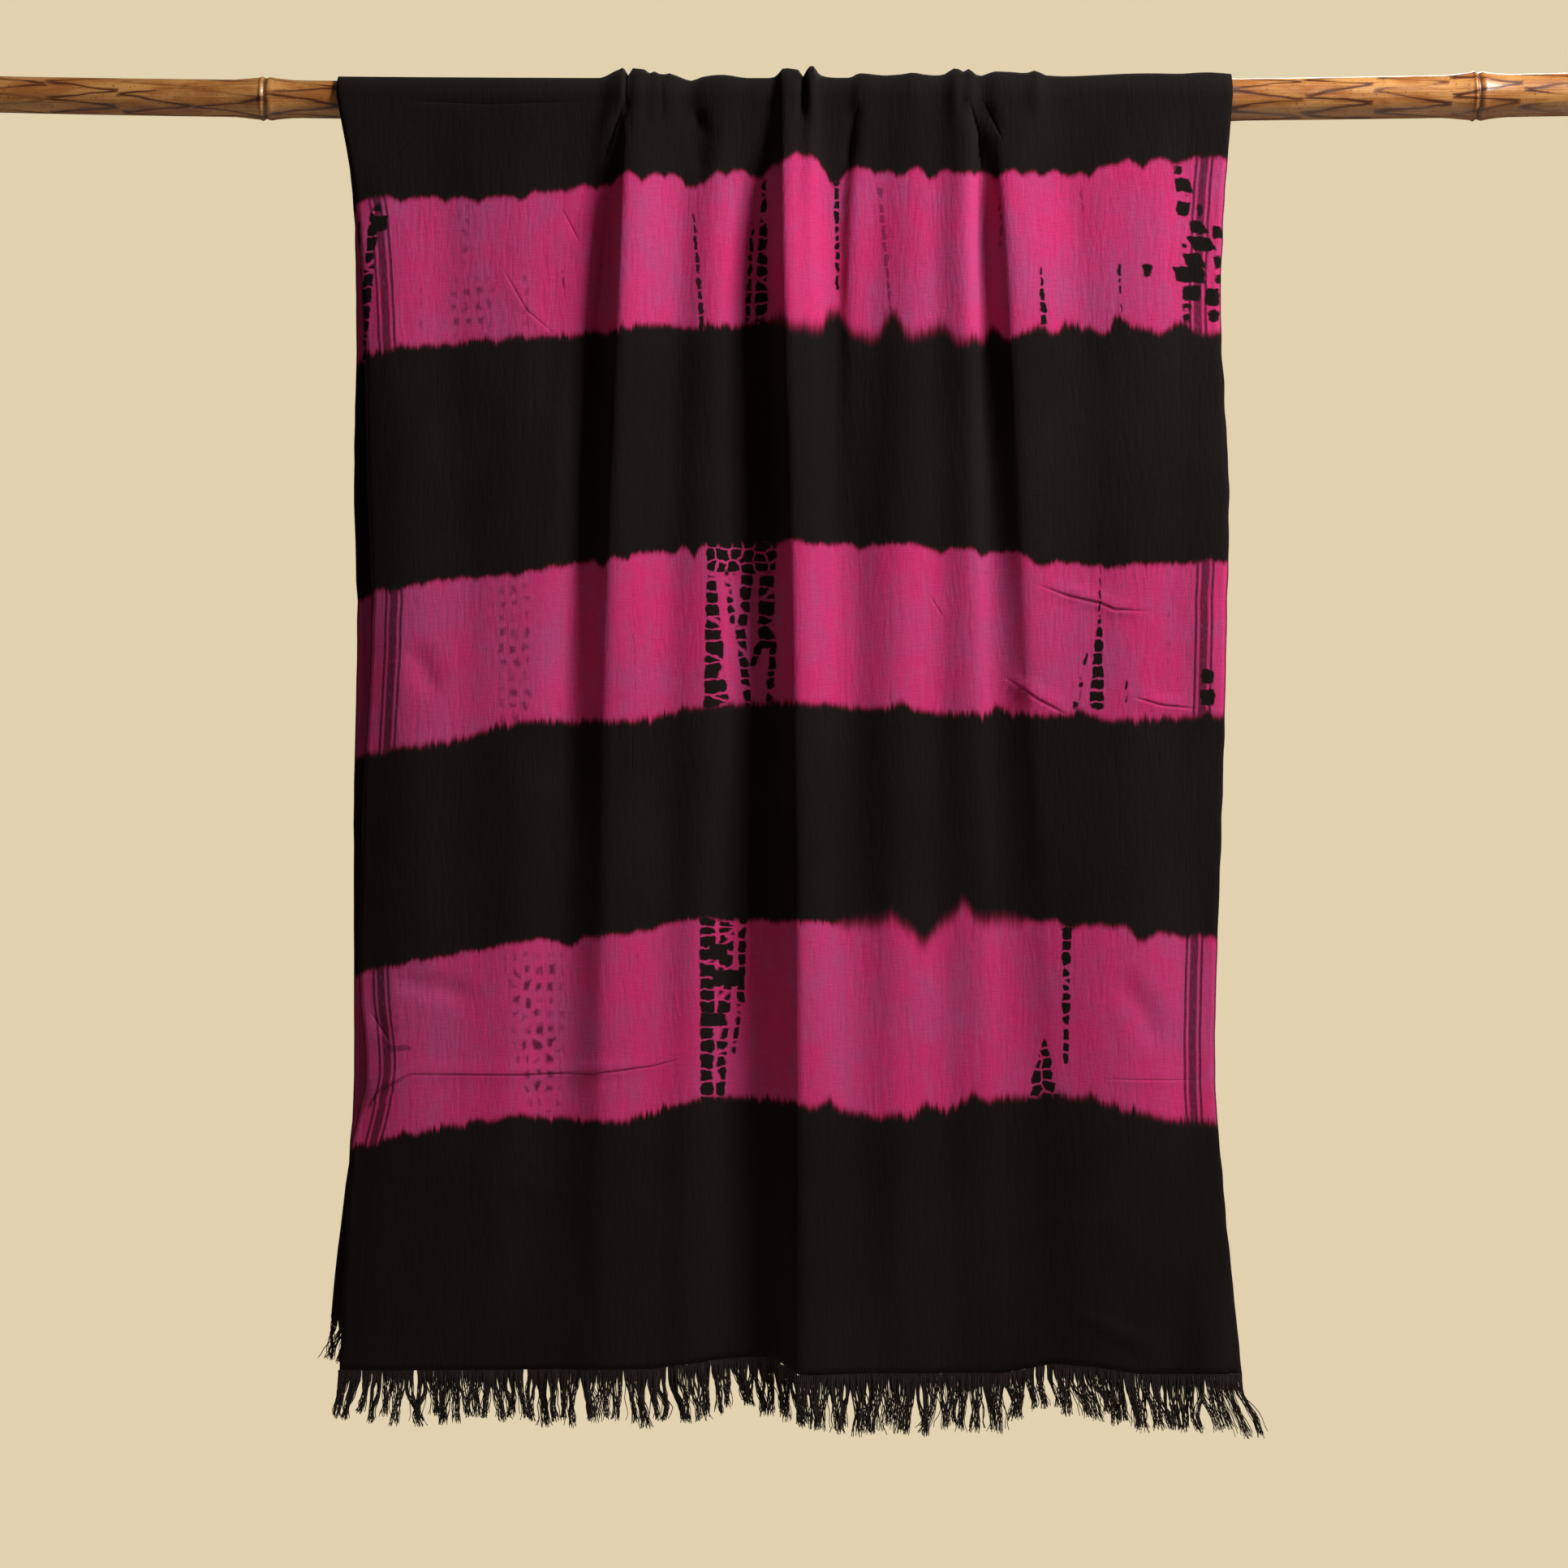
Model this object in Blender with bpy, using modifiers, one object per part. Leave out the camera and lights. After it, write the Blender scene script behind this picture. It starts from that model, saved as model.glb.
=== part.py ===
"""A shibori dyed cotton cloth hung over a bamboo rod.

The cloth is one long cotton piece, laid over the rod near its middle, so that it
hangs in a front drop and a back drop, with a yarn fringe at both ends.

Metres, +Z up, +X along the rod, and the front drop faces -Y. The origin is on the
rod's axis, at the middle of its length.
"""

import math
import random
from collections import namedtuple

import bmesh
import bpy

OBJECT_NAME = "shibori_cloth_on_bamboo_rod"

# Bamboo rod
ROD_LENGTH = 1.520
ROD_RADIUS_LEFT = 0.0165
ROD_RADIUS_RIGHT = 0.0198
ROD_SAG = 0.0078
ROD_PLAIN_RINGS = 13
ROD_LEVEL_END = 0.012
ROD_SIDE_RESOLUTION = 6
GROOVE_SHARE = -0.4

# One row for each bamboo node: its place along the rod, how far the rod swells at it,
# and how far its ring stands out of the swelling. The one under the cloth has no ring.
Node = namedtuple("Node", "name x swell ring")
ROD_NODES = (
    Node("left node", -0.479, 0.0022, 0.0011),
    Node("covered node", 0.392, 0.0020, 0.0),
    Node("right node", 0.639, 0.0024, 0.0013),
)
SWELL_HALF = 0.032
RING_HALF = 0.006

# Cloth
CLOTH_THICKNESS = 0.002
CLOTH_OFF_ROD = 0.0026
FRONT_DROP = 1.171
BACK_DROP = 1.126
COLUMNS = 50
FRONT_ROWS = 21
ROWS_CLOSE_UP = 1.3
WRAP_ROWS = 8
BACK_ROWS = 14
STEEP_PULL = 2.6
PROFILE_SAMPLES = 500
BACK_RIGHT_INSET = 0.010
ROD_GRIP = 0.10

# The hung outline, a row for each height below the rod's axis.
Edge = namedtuple("Edge", "down front_left back_left right")
EDGES = (
    Edge(0.000, -0.411, -0.411, 0.412),
    Edge(0.090, -0.395, -0.401, 0.405),
    Edge(0.200, -0.386, -0.398, 0.401),
    Edge(0.360, -0.382, -0.400, 0.408),
    Edge(0.480, -0.378, -0.397, 0.406),
    Edge(0.655, -0.387, -0.400, 0.402),
    Edge(0.810, -0.390, -0.400, 0.397),
    Edge(0.900, -0.384, -0.400, 0.396),
    Edge(0.965, -0.397, -0.403, 0.400),
    Edge(1.075, -0.404, -0.416, 0.410),
    Edge(1.171, -0.408, -0.425, 0.420),
)

# A row for each fold. left and right are the widths of its two flanks, at the rod and
# at the hem. x and out are its place and how far it stands off the drop, at each of
# the heights in FOLD_DOWN: the rod, the three dyed bands and the hem. A valley has a
# negative out. edge is the flank that meets the fold's line in a sharp edge, if any.
FOLD_DOWN = (0.00, 0.14, 0.50, 0.86, 1.18)
Fold = namedtuple("Fold", "name edge left right x out")
FOLDS = (
    Fold("left selvedge turn", "none", (0.045, 0.055), (0.060, 0.085),
         (-0.392, -0.366, -0.350, -0.352, -0.372), (0.000, 0.006, 0.011, 0.009, 0.004)),
    Fold("left panel billow", "none", (0.110, 0.130), (0.060, 0.090),
         (-0.260, -0.250, -0.252, -0.262, -0.280), (0.000, 0.005, 0.010, 0.010, 0.004)),
    Fold("left pinch", "right", (0.022, 0.090), (0.006, 0.014),
         (-0.149, -0.169, -0.200, -0.214, -0.224), (0.008, 0.006, 0.002, 0.000, 0.000)),
    Fold("left gather", "left", (0.009, 0.080), (0.060, 0.080),
         (-0.143, -0.150, -0.163, -0.168, -0.175), (0.009, 0.022, 0.017, 0.012, 0.006)),
    Fold("left gather valley", "none", (0.030, 0.060), (0.014, 0.050),
         (-0.160, -0.165, -0.185, -0.202, -0.214), (0.000, -0.010, -0.006, -0.005, -0.002)),
    Fold("small bump by the rod", "none", (0.030, 0.040), (0.026, 0.040),
         (-0.058, -0.068, -0.076, -0.080, -0.080), (0.003, 0.005, 0.004, 0.003, 0.002)),
    Fold("middle pleat valley", "none", (0.040, 0.070), (0.012, 0.040),
         (-0.014, -0.019, -0.014, -0.034, -0.036), (0.000, -0.010, -0.011, -0.012, -0.009)),
    Fold("middle pleat", "left", (0.010, 0.046), (0.050, 0.085),
         (-0.001, -0.001, 0.009, 0.013, 0.014), (0.009, 0.024, 0.024, 0.025, 0.018)),
    Fold("middle pinch", "left", (0.006, 0.010), (0.014, 0.030),
         (0.023, 0.022, 0.024, 0.026, 0.026), (0.005, 0.002, 0.000, 0.000, 0.000)),
    Fold("short crease", "left", (0.008, 0.014), (0.030, 0.040),
         (0.068, 0.060, 0.056, 0.056, 0.056), (0.004, 0.006, 0.001, 0.000, 0.000)),
    Fold("centre right billow", "none", (0.055, 0.060), (0.045, 0.060),
         (0.118, 0.120, 0.102, 0.100, 0.104), (0.003, 0.008, 0.012, 0.010, 0.005)),
    Fold("right pinch", "none", (0.030, 0.050), (0.014, 0.030),
         (0.168, 0.166, 0.172, 0.180, 0.190), (0.008, 0.011, 0.006, 0.003, 0.001)),
    Fold("right gather valley", "none", (0.014, 0.040), (0.014, 0.040),
         (0.184, 0.187, 0.204, 0.222, 0.240), (0.000, -0.005, -0.003, -0.002, 0.000)),
    Fold("right gather", "left", (0.018, 0.060), (0.070, 0.090),
         (0.193, 0.204, 0.222, 0.244, 0.262), (0.005, 0.014, 0.010, 0.005, 0.002)),
    Fold("right panel billow", "none", (0.075, 0.095), (0.080, 0.090),
         (0.330, 0.322, 0.322, 0.318, 0.332), (0.002, 0.005, 0.009, 0.012, 0.005)),
    Fold("right selvedge turn", "none", (0.050, 0.050), (0.040, 0.040),
         (0.395, 0.390, 0.394, 0.386, 0.398), (0.000, -0.004, 0.004, -0.004, 0.006)),
)
SHARP_FLANK = 1.6
BACK_FOLD_DEPTH = 0.72
BACK_FOLD_SHIFT = -0.012

# The hem's rise above its lowest line, a row for each place along the front hem.
Rise = namedtuple("Rise", "x up")
HEM_RISES = (
    Rise(-0.408, 0.003), Rise(-0.120, 0.004), Rise(-0.060, 0.012), Rise(-0.010, 0.015),
    Rise(0.014, 0.001), Rise(0.200, 0.000), Rise(0.247, 0.009), Rise(0.287, 0.006),
    Rise(0.326, 0.000), Rise(0.420, 0.001),
)
BACK_HEM_RISE = 0.012

# Fringe: a narrow strip under each hem, from which the locks of yarn hang.
FRINGE_GAP = 0.0004
STRIP_DEPTH = 0.004
STRIP_THICKNESS = 0.0022
FRONT_LOCKS = 84
BACK_LOCKS = 64
LOCK_ROOT_SHARE = 0.50
LOCK_STEPS = 3
LOCK_TAPER = 0.84
LOCK_LENGTH = 0.042
LOCK_LENGTH_GAIN = 0.008
LONG_LOCKS_FROM = 0.6
LOCK_UNEVEN = 0.10
LOCK_WAVE = 0.0036
LONG_WAVE_SHARE = 0.5
SHORT_WAVE_TURN = 0.83
LONG_WAVE_TURN = 0.37
SWAY_TURN = 1.7
LOCK_JITTER = 0.0007
CORNER_LOCKS = 4
CORNER_FLARE = 0.021
FRINGE_SEED = 11

Finish = namedtuple("Finish", "name color roughness")
COTTON_BLACK = Finish("black_dyed_cotton", (0.010, 0.007, 0.007, 1.0), 0.90)
FRINGE_BLACK = Finish("black_fringe_yarn", (0.008, 0.006, 0.007, 1.0), 0.85)
BAMBOO_TAN = Finish("varnished_bamboo", (0.42, 0.22, 0.09, 1.0), 0.35)

FRONT = -1.0
BACK = 1.0


def clear_scene():
    for obj in list(bpy.context.scene.objects):
        bpy.data.objects.remove(obj, do_unlink=True)


def new_collection(name):
    collection = bpy.data.collections.new(name)
    bpy.context.scene.collection.children.link(collection)
    return collection


def new_material(finish):
    material = bpy.data.materials.new(finish.name)
    material.use_nodes = True
    shader = material.node_tree.nodes["Principled BSDF"]
    shader.inputs["Base Color"].default_value = finish.color
    shader.inputs["Roughness"].default_value = finish.roughness
    shader.inputs["Metallic"].default_value = 0.0
    material.diffuse_color = finish.color
    return material


def add_object(name, data, collection, finish):
    data.materials.append(new_material(finish))
    obj = bpy.data.objects.new(name, data)
    collection.objects.link(obj)
    return obj


def clamp(value, low, high):
    return min(max(value, low), high)


def ease(value):
    share = clamp(value, 0.0, 1.0)
    return share * share * (3.0 - 2.0 * share)


def curve_through(stations, values, at):
    """Read a smooth curve that passes through each value at its station."""
    last = len(stations) - 1
    at = clamp(at, stations[0], stations[last])
    i = next(k for k in range(last) if at <= stations[k + 1] or k == last - 1)

    def slope(k):
        low, high = max(k - 1, 0), min(k + 1, last)
        return (values[high] - values[low]) / (stations[high] - stations[low])

    span = stations[i + 1] - stations[i]
    t = (at - stations[i]) / span
    rise = values[i + 1] - values[i]
    start, end = slope(i) * span, slope(i + 1) * span
    cubic = start + end - 2.0 * rise
    square = 3.0 * rise - 2.0 * start - end
    return values[i] + t * (start + t * (square + t * cubic))


def line_through(rows, at):
    """Read straight lines through rows of (place, value)."""
    for (x0, v0), (x1, v1) in zip(rows, rows[1:]):
        if at <= x1:
            return v0 + (v1 - v0) * clamp((at - x0) / (x1 - x0), 0.0, 1.0)
    return rows[-1][1]


def rod_axis_height(x):
    """The rod bends a little under the cloth: its ends are higher than its middle."""
    half = ROD_LENGTH / 2.0
    reach = min(abs(x), half - ROD_LEVEL_END) / half
    return ROD_SAG * reach * reach


def rod_radius(x):
    """The rod's radius without the rings: it tapers, and swells at each node."""
    share = clamp(x / ROD_LENGTH + 0.5, 0.0, 1.0)
    radius = ROD_RADIUS_LEFT + (ROD_RADIUS_RIGHT - ROD_RADIUS_LEFT) * share
    for node in ROD_NODES:
        reach = min(abs(x - node.x) / SWELL_HALF, 1.0)
        radius += node.swell * (0.5 + 0.5 * math.cos(math.pi * reach))
    return radius


def rod_rings():
    """Each ring of the rod as (x, radius), closer together at the bamboo nodes."""
    half = ROD_LENGTH / 2.0
    places = [-half, -half + ROD_LEVEL_END, half - ROD_LEVEL_END, half]
    for i in range(1, ROD_PLAIN_RINGS):
        places.append(-half + ROD_LENGTH * i / ROD_PLAIN_RINGS)
    rings = []
    for x in places:
        if all(abs(x - node.x) > SWELL_HALF for node in ROD_NODES):
            rings.append((x, rod_radius(x)))
    for node in ROD_NODES:
        for x in (-SWELL_HALF, -SWELL_HALF / 2.0, SWELL_HALF / 2.0, SWELL_HALF):
            rings.append((node.x + x, rod_radius(node.x + x)))
        for x, share in ((-RING_HALF, 0.0), (-RING_HALF / 2.0, 1.0), (0.0, GROOVE_SHARE),
                         (RING_HALF / 2.0, 1.0), (RING_HALF, 0.0)):
            rings.append((node.x + x, rod_radius(node.x + x) + share * node.ring))
    return sorted(rings)


def make_rod(collection):
    rings = rod_rings()
    curve = bpy.data.curves.new("bamboo_rod", "CURVE")
    curve.dimensions = "3D"
    curve.bevel_depth = ROD_RADIUS_LEFT
    curve.bevel_resolution = ROD_SIDE_RESOLUTION
    curve.use_fill_caps = True
    spline = curve.splines.new("POLY")
    spline.points.add(len(rings) - 1)
    for point, (x, radius) in zip(spline.points, rings):
        point.co = (x, 0.0, rod_axis_height(x), 1.0)
        point.radius = radius / ROD_RADIUS_LEFT
    return add_object("bamboo_rod", curve, collection, BAMBOO_TAN)


def edge_at(side, down):
    """The left and right edge of one drop at a height below the rod's axis."""
    heights = [row.down for row in EDGES]
    lefts = [row.front_left if side == FRONT else row.back_left for row in EDGES]
    right = curve_through(heights, [row.right for row in EDGES], down)
    if side == BACK:
        right -= BACK_RIGHT_INSET * ease(down / ROD_GRIP)
    return curve_through(heights, lefts, down), right


def folds_at(side, down):
    """Each fold's place, flanks and depth at one height of one drop."""
    below_rod = ease(down / ROD_GRIP)
    low = down / FOLD_DOWN[-1]
    rows = []
    for fold in FOLDS:
        x = curve_through(FOLD_DOWN, fold.x, down)
        out = curve_through(FOLD_DOWN, fold.out, down)
        if side == BACK:
            x += BACK_FOLD_SHIFT * below_rod
            out *= 1.0 + (BACK_FOLD_DEPTH - 1.0) * below_rod
        if out < 0.0:
            out *= below_rod
        left = fold.left[0] + (fold.left[1] - fold.left[0]) * low
        right = fold.right[0] + (fold.right[1] - fold.right[0]) * low
        rows.append((x, left, right, fold.edge, out))
    return rows


def bump(offset, left, right, edge):
    """A fold's cross section: 1 at its line, and 0 at the foot of each flank."""
    on_left = offset < 0.0
    reach = min(abs(offset) / (left if on_left else right), 1.0)
    if edge == ("left" if on_left else "right"):
        return (1.0 - reach) ** SHARP_FLANK
    return 0.5 + 0.5 * math.cos(math.pi * reach)


def outward(rows, x):
    """How far the folds stand off the drop at one place across it."""
    return sum(out * bump(x - at, left, right, edge) for at, left, right, edge, out in rows)


def cloth_columns(side, down):
    """Places across one row of the cloth, closer together where a fold is steep."""
    left, right = edge_at(side, down)
    rows = folds_at(side, down)
    xs = [left + (right - left) * i / PROFILE_SAMPLES for i in range(PROFILE_SAMPLES + 1)]
    outs = [outward(rows, x) for x in xs]
    run = [0.0]
    for i in range(PROFILE_SAMPLES):
        run.append(run[-1] + math.hypot(xs[i + 1] - xs[i], STEEP_PULL * (outs[i + 1] - outs[i])))
    columns = []
    k = 0
    for i in range(COLUMNS + 1):
        target = run[-1] * i / COLUMNS
        while k < PROFILE_SAMPLES - 1 and run[k + 1] < target:
            k += 1
        share = (target - run[k]) / (run[k + 1] - run[k])
        columns.append((xs[k] + (xs[k + 1] - xs[k]) * share,
                        outs[k] + (outs[k + 1] - outs[k]) * share))
    return columns


def wrap_radius(x):
    return rod_radius(x) + CLOTH_OFF_ROD + CLOTH_THICKNESS / 2.0


def hem_height(side, x):
    if side == FRONT:
        return -FRONT_DROP + line_through(HEM_RISES, x)
    return -BACK_DROP + BACK_HEM_RISE * clamp(x / ROD_LENGTH + 0.5, 0.0, 1.0)


def drop_row(side, share):
    """One row of a drop: share is 0 beside the rod and 1 at the hem."""
    length = FRONT_DROP if side == FRONT else BACK_DROP
    row = []
    for x, out in cloth_columns(side, length * share):
        y = side * (wrap_radius(x) + out)
        top = rod_axis_height(x)
        row.append((x, y, top + (hem_height(side, x) - top) * share))
    return row


def wrap_row(share):
    """One row over the rod: share is 0 at its front and 1 at its back."""
    turn = math.pi * (share - 0.5)
    row = []
    for x, out in cloth_columns(FRONT, 0.0):
        radius = wrap_radius(x) + out
        row.append((x, radius * math.sin(turn), rod_axis_height(x) + radius * math.cos(turn)))
    return row


def cloth_rows():
    """The rows of the cloth from the front hem, over the rod, to the back hem."""
    fronts = [(i / FRONT_ROWS) ** ROWS_CLOSE_UP for i in range(FRONT_ROWS, 0, -1)]
    backs = [(i / BACK_ROWS) ** ROWS_CLOSE_UP for i in range(BACK_ROWS + 1)]
    rows = [drop_row(FRONT, share) for share in fronts]
    rows += [wrap_row(i / WRAP_ROWS) for i in range(WRAP_ROWS)]
    rows += [drop_row(BACK, share) for share in backs]
    return rows


def grid_mesh(name, rows):
    """A grid of quads whose points are placed row by row."""
    across, along = len(rows[0]) - 1, len(rows) - 1
    bm = bmesh.new()
    bmesh.ops.create_grid(bm, x_segments=across, y_segments=along, size=0.5)
    for vert in bm.verts:
        column = round((vert.co.x + 0.5) * across)
        row = round((vert.co.y + 0.5) * along)
        vert.co = rows[row][column]
    mesh = bpy.data.meshes.new(name)
    bm.to_mesh(mesh)
    bm.free()
    return mesh


def make_cloth(collection, rows):
    mesh = grid_mesh("dyed_cloth", rows)
    mesh.shade_smooth()
    cloth = add_object("dyed_cloth", mesh, collection, COTTON_BLACK)
    shell = cloth.modifiers.new("Cloth thickness", "SOLIDIFY")
    shell.thickness = CLOTH_THICKNESS
    shell.offset = 0.0
    return cloth


def along_hem(points, share):
    """The point at a share of the way along the hem's line."""
    lengths = [math.dist(a, b) for a, b in zip(points, points[1:])]
    left = share * sum(lengths)
    for (a, b), length in zip(zip(points, points[1:]), lengths):
        if left <= length:
            return tuple(p + (q - p) * left / length for p, q in zip(a, b))
        left -= length
    return points[-1]


def strip_stations(locks):
    """Shares along the hem at which each lock's root starts and ends."""
    stations = [0.0]
    for i in range(locks):
        stations.append((i + 0.5 - LOCK_ROOT_SHARE / 2.0) / locks)
        stations.append((i + 0.5 + LOCK_ROOT_SHARE / 2.0) / locks)
    return stations + [1.0]


def strip_body(hem, locks):
    """The closed strip under a hem, with a face on its underside for each root."""
    tops = [along_hem(hem, share) for share in strip_stations(locks)]
    upper = [(x, y, z - FRINGE_GAP) for x, y, z in tops]
    lower = [(x, y, z - FRINGE_GAP - STRIP_DEPTH) for x, y, z in tops]
    sheet = grid_mesh("strip_sheet", [lower, upper])
    bm = bmesh.new()
    bm.from_mesh(sheet)
    bpy.data.meshes.remove(sheet)
    bm.normal_update()
    for vert in bm.verts:
        vert.co += vert.normal * STRIP_THICKNESS / 2.0
    bmesh.ops.solidify(bm, geom=bm.faces[:], thickness=STRIP_THICKNESS)
    bmesh.ops.recalc_face_normals(bm, faces=bm.faces[:])
    bm.normal_update()
    return bm


def lock_lean(i, locks, chance):
    """How far a lock's tip leans along the rod: in soft waves, and out at the corners."""
    lean = LOCK_WAVE * math.sin(SHORT_WAVE_TURN * i)
    lean += LONG_WAVE_SHARE * LOCK_WAVE * math.cos(LONG_WAVE_TURN * i)
    lean += chance.uniform(-LOCK_JITTER, LOCK_JITTER)
    lean -= CORNER_FLARE * ease(1.0 - i / CORNER_LOCKS)
    lean += CORNER_FLARE * ease(1.0 - (locks - 1 - i) / CORNER_LOCKS)
    return lean


def hang_lock(bm, root, lean, sway, length):
    """Draw one lock of yarn down from its root face in tapering steps."""
    face = root
    for step in range(LOCK_STEPS):
        face = bmesh.ops.extrude_discrete_faces(bm, faces=[face])["faces"][0]
        centre = face.calc_center_median()
        share = (2.0 * step + 1.0) / LOCK_STEPS ** 2
        for vert in face.verts:
            vert.co.x = centre.x + (vert.co.x - centre.x) * LOCK_TAPER + lean * share
            vert.co.y = centre.y + (vert.co.y - centre.y) * LOCK_TAPER + sway * share
            vert.co.z = centre.z - length / LOCK_STEPS


def make_fringe(name, hem, locks, collection):
    chance = random.Random(FRINGE_SEED + locks)
    bm = strip_body(hem, locks)
    under = [face for face in bm.faces if face.normal.z < -0.7]
    under.sort(key=lambda face: face.calc_center_median().x)
    for i, root in enumerate(under[1::2]):
        share = i / (locks - 1)
        length = LOCK_LENGTH + LOCK_LENGTH_GAIN * ease(share / LONG_LOCKS_FROM)
        length *= 1.0 + LOCK_UNEVEN * chance.uniform(-1.0, 1.0)
        sway = LOCK_WAVE * math.sin(SWAY_TURN * i)
        hang_lock(bm, root, lock_lean(i, locks, chance), sway, length)
    mesh = bpy.data.meshes.new(name)
    bm.to_mesh(mesh)
    bm.free()
    return add_object(name, mesh, collection, FRINGE_BLACK)


def main():
    clear_scene()
    collection = new_collection(OBJECT_NAME)
    rows = cloth_rows()
    make_rod(collection)
    make_cloth(collection, rows)
    make_fringe("front_fringe", rows[0], FRONT_LOCKS, collection)
    make_fringe("back_fringe", rows[-1], BACK_LOCKS, collection)


main()
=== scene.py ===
"""The looks of a shibori dyed cotton cloth hung over a bamboo rod.

Laid out as a Blender add-on: the sizes and colours are properties, each piece has an
operator, and a panel in the sidebar lists them. Metres, +Z up, +X along the rod, and the
front drop faces -Y. The origin is on the rod's axis, at the middle of its length.
"""

import math
import random
from collections import namedtuple

import bmesh
import bpy
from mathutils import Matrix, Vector, noise


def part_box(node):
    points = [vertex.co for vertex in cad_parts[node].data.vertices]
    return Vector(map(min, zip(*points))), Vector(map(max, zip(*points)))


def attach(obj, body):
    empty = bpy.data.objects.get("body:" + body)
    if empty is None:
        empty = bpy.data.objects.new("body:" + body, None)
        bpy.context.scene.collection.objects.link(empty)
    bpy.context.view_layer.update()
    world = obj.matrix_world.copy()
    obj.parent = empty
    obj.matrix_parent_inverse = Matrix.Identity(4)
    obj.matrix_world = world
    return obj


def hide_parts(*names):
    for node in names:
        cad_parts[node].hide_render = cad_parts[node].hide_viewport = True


bl_info = {
    "name": "Shibori cloth on a bamboo rod",
    "version": (1, 0, 0),
    "blender": (4, 5, 0),
    "location": "3D View > Sidebar > Dyed Cloth",
    "description": "Hangs a shibori dyed cotton cloth with fringed ends over a bamboo rod",
    "category": "Object",
}

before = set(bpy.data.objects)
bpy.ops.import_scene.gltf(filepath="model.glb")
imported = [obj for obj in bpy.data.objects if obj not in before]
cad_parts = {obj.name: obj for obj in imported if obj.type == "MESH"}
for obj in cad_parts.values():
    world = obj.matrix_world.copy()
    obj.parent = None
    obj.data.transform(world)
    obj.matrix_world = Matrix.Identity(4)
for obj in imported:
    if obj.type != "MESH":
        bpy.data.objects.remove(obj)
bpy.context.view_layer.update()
ROD_LOW, ROD_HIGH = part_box("bamboo_rod")

BODY = "root"
FRONT = -1.0
BACK = 1.0

# Bamboo rod. Its length comes from the frame, and the rest repeats the solid's sizes.
ROD_LENGTH = ROD_HIGH.x - ROD_LOW.x
ROD_RADIUS_LEFT = 0.0165
ROD_RADIUS_RIGHT = 0.0198
ROD_SAG = 0.0078
ROD_LEVEL_END = 0.012
Node = namedtuple("Node", "name x swell ring")
ROD_NODES = (
    Node("left node", -0.479, 0.0022, 0.0011),
    Node("covered node", 0.392, 0.0020, 0.0),
    Node("right node", 0.639, 0.0024, 0.0013),
)
# Half the length of a node's swelling and of its raised ring.
SWELL_HALF = 0.032
RING_HALF = 0.006
# The rod's rings: how many along it, and how many beside each node.
ROD_STEPS = 150
NODE_STEPS = 12
# The chamfer of the cut ends, and how small the bore's bottom ring is.
CHAMFER = 0.0006
BORE_POINT = 0.0008
BORE_TAPER = 0.97
# Burnt hairpin lines: how far apart their columns are along the rod, how far each line
# reaches to a side as a share of that, and how far it climbs round the rod in a turn.
LOOP_PITCH = 0.068
LOOP_REACH = 0.42
LOOP_RISE = 0.0195

# Cloth as it hangs
CLOTH_OFF_ROD = 0.0026
SOLID_HALF_THICKNESS = 0.001
FRONT_DROP = 1.171
BACK_DROP = 1.126
BACK_RIGHT_INSET = 0.010
# How far below the rod the cloth is still held to its shape by it.
ROD_GRIP = 0.10
# The cloth's grid: columns crowd where a fold is steep, and rows crowd near the rod.
STEEP_PULL = 2.6
PROFILE_SAMPLES = 600
COLUMNS = 170
FRONT_ROWS = 196
WRAP_ROWS = 22
BACK_ROWS = 62
ROWS_CLOSE_UP = 1.12

# The hung outline, a row for each height below the rod's axis.
Edge = namedtuple("Edge", "down front_left back_left right")
EDGES = (
    Edge(0.000, -0.411, -0.411, 0.412),
    Edge(0.090, -0.395, -0.401, 0.405),
    Edge(0.200, -0.386, -0.398, 0.401),
    Edge(0.360, -0.382, -0.400, 0.408),
    Edge(0.480, -0.378, -0.397, 0.406),
    Edge(0.655, -0.387, -0.400, 0.402),
    Edge(0.810, -0.390, -0.400, 0.397),
    Edge(0.900, -0.384, -0.400, 0.396),
    Edge(0.965, -0.397, -0.403, 0.400),
    Edge(1.075, -0.404, -0.416, 0.410),
    Edge(1.171, -0.408, -0.425, 0.420),
)

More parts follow.
